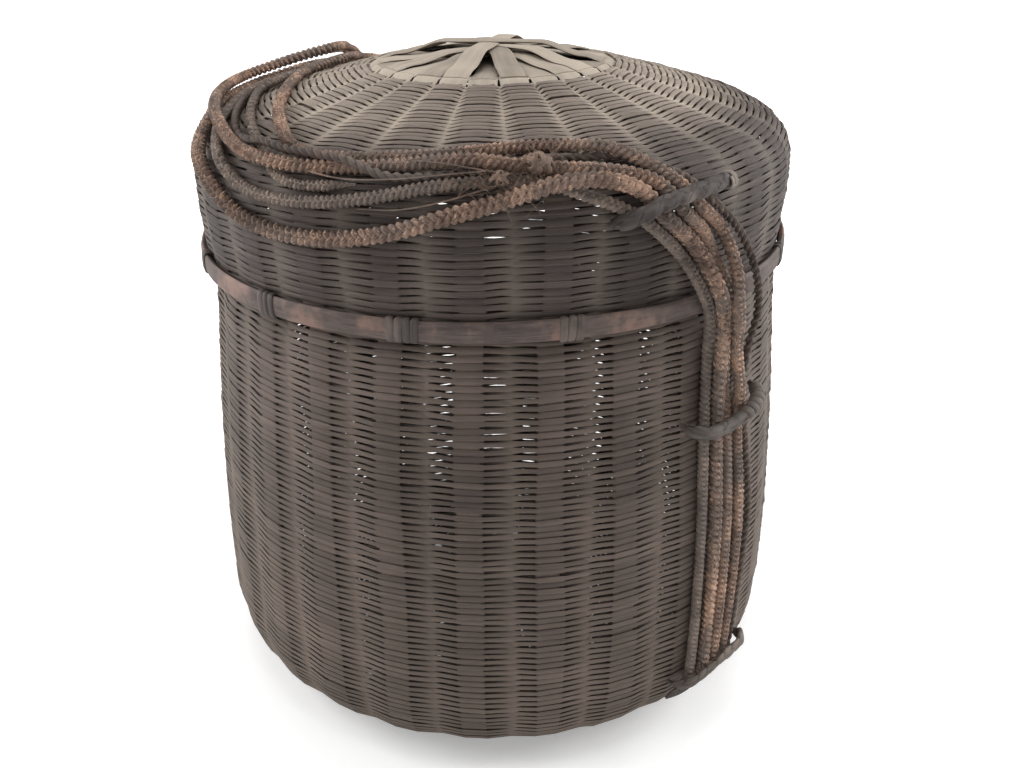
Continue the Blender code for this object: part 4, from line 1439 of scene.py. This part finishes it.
def makeLoops(side, turn):
    for name, kind in loopKinds.items():
        line = loopLine(loopRoutes[name], kind["thickness"], turn)
        making = Making()
        boundRod(making, line, **kind["rod"])
        making.finish(
            f"{kind['piece']}_{side}", kind["paint"], kind["body"], "strap", [f"{name}_loop_{side}"])
        if "rings" in kind:
            making = Making()
            bindingRings(making, line, **kind["rings"])
            making.finish(f"{name}_binding_{side}", kind["ringPaint"], kind["body"], "strap", [])
    makeFlap(side, turn)


# the flat end of the base strap, folded back along the basket's foot like a leaf
flapRoute = (
    (47.5, 1.855, 0.0040), (44.0, 1.872, 0.0040), (41.0, 1.890, 0.0030), (38.0, 1.910, 0.0020),
    (35.5, 1.928, 0.0005),
)


def makeFlap(side, turn):
    corners = [surfacePoint(azimuth + turn, level, lift) for azimuth, level, lift in flapRoute]
    line = smoothCurve(corners, 6)
    outs, sides = frames(line)

    def section(index):
        share = index / (len(line) - 1)
        half = 0.0056 * sin(pi * (0.12 + 0.82 * share)) ** 0.7
        edge = half * 0.9
        return (
            (0.0009, 0), (0.0004, half), (-0.0006, edge), (-0.0008, 0), (-0.0006, -edge), (0.0004, -half))

    making = Making()
    making.tube(line, outs, sides, section, 12, 0.35, 0.0)
    making.finish(f"base_flap_{side}", strapPaint, "basket", "strap", [])


for side, turn in (("right", 0), ("left", 180)):
    makeLoops(side, turn)
print("loops bound")


# the floor is white to the camera and keeps the basket's shadow
def makeStage():
    paint = Paint("white floor")
    paint.into("Base Color", colour(240, 240, 240))
    paint.into("Roughness", 0.9)
    # painted light: to the camera the floor glows, a quarter near the basket and full white from 0.35 to 1.1
    # m out, so it reads white far off while the basket's shadow stays
    seen = paint.add("ShaderNodeLightPath", {}, {}, 0)
    distance = paint.add("ShaderNodeVectorMath", {"operation": "LENGTH"}, {0: paint.place()}, 1)
    far = paint.step(distance, 0.35, 1.1)
    glow = seen * (far * 0.75 + 0.25)
    paint.into("Emission Color", paint.blend(glow, (0, 0, 0, 1), (1, 1, 1, 1)))
    paint.into("Emission Strength", 1)
    data = bpy.data.meshes.new("white_floor")
    reach = 6
    corners = [(-reach, -reach, 0), (reach, -reach, 0), (reach, reach, 0), (-reach, reach, 0)]
    data.from_pydata(corners, [], [(0, 1, 2, 3)])
    data.materials.append(paint.material)
    ground = bpy.data.objects.new("white_floor", data)
    scene.collection.objects.link(ground)

    world = bpy.data.worlds.new("studio")
    scene.world = world
    world.use_nodes = True
    tree = world.node_tree
    background = tree.nodes["Background"]
    background.inputs["Color"].default_value = (1, 1, 1, 1)
    path = tree.nodes.new("ShaderNodeLightPath")
    mix = tree.nodes.new("ShaderNodeMapRange")
    mix.inputs["To Min"].default_value = 0.42
    mix.inputs["To Max"].default_value = 1
    tree.links.new(path.outputs["Is Camera Ray"], mix.inputs["Value"])
    tree.links.new(mix.outputs["Result"], background.inputs["Strength"])


lamps = (
    ("top softbox", (0.0, 0.1, 1.7), 1.3, 12),
    ("left softbox", (-1.6, 0.2, 0.9), 1.2, 26),
    ("right softbox", (1.6, 0.3, 0.9), 1.2, 29),
    ("front softbox", (-0.3, -1.8, 0.7), 1.2, 5),
)


def makeLamps():
    for name, place, size, power in lamps:
        data = bpy.data.lights.new(name, "AREA")
        data.shape = "DISK"
        data.size = size
        data.energy = power
        lamp = bpy.data.objects.new(name, data)
        lamp.location = place
        lamp.rotation_euler = (Vector((0, 0, 0.2)) - Vector(place)).to_track_quat("-Z", "Y").to_euler()
        scene.collection.objects.link(lamp)


makeStage()
makeLamps()
scene.view_settings.view_transform = "Standard"
print("stage lit")
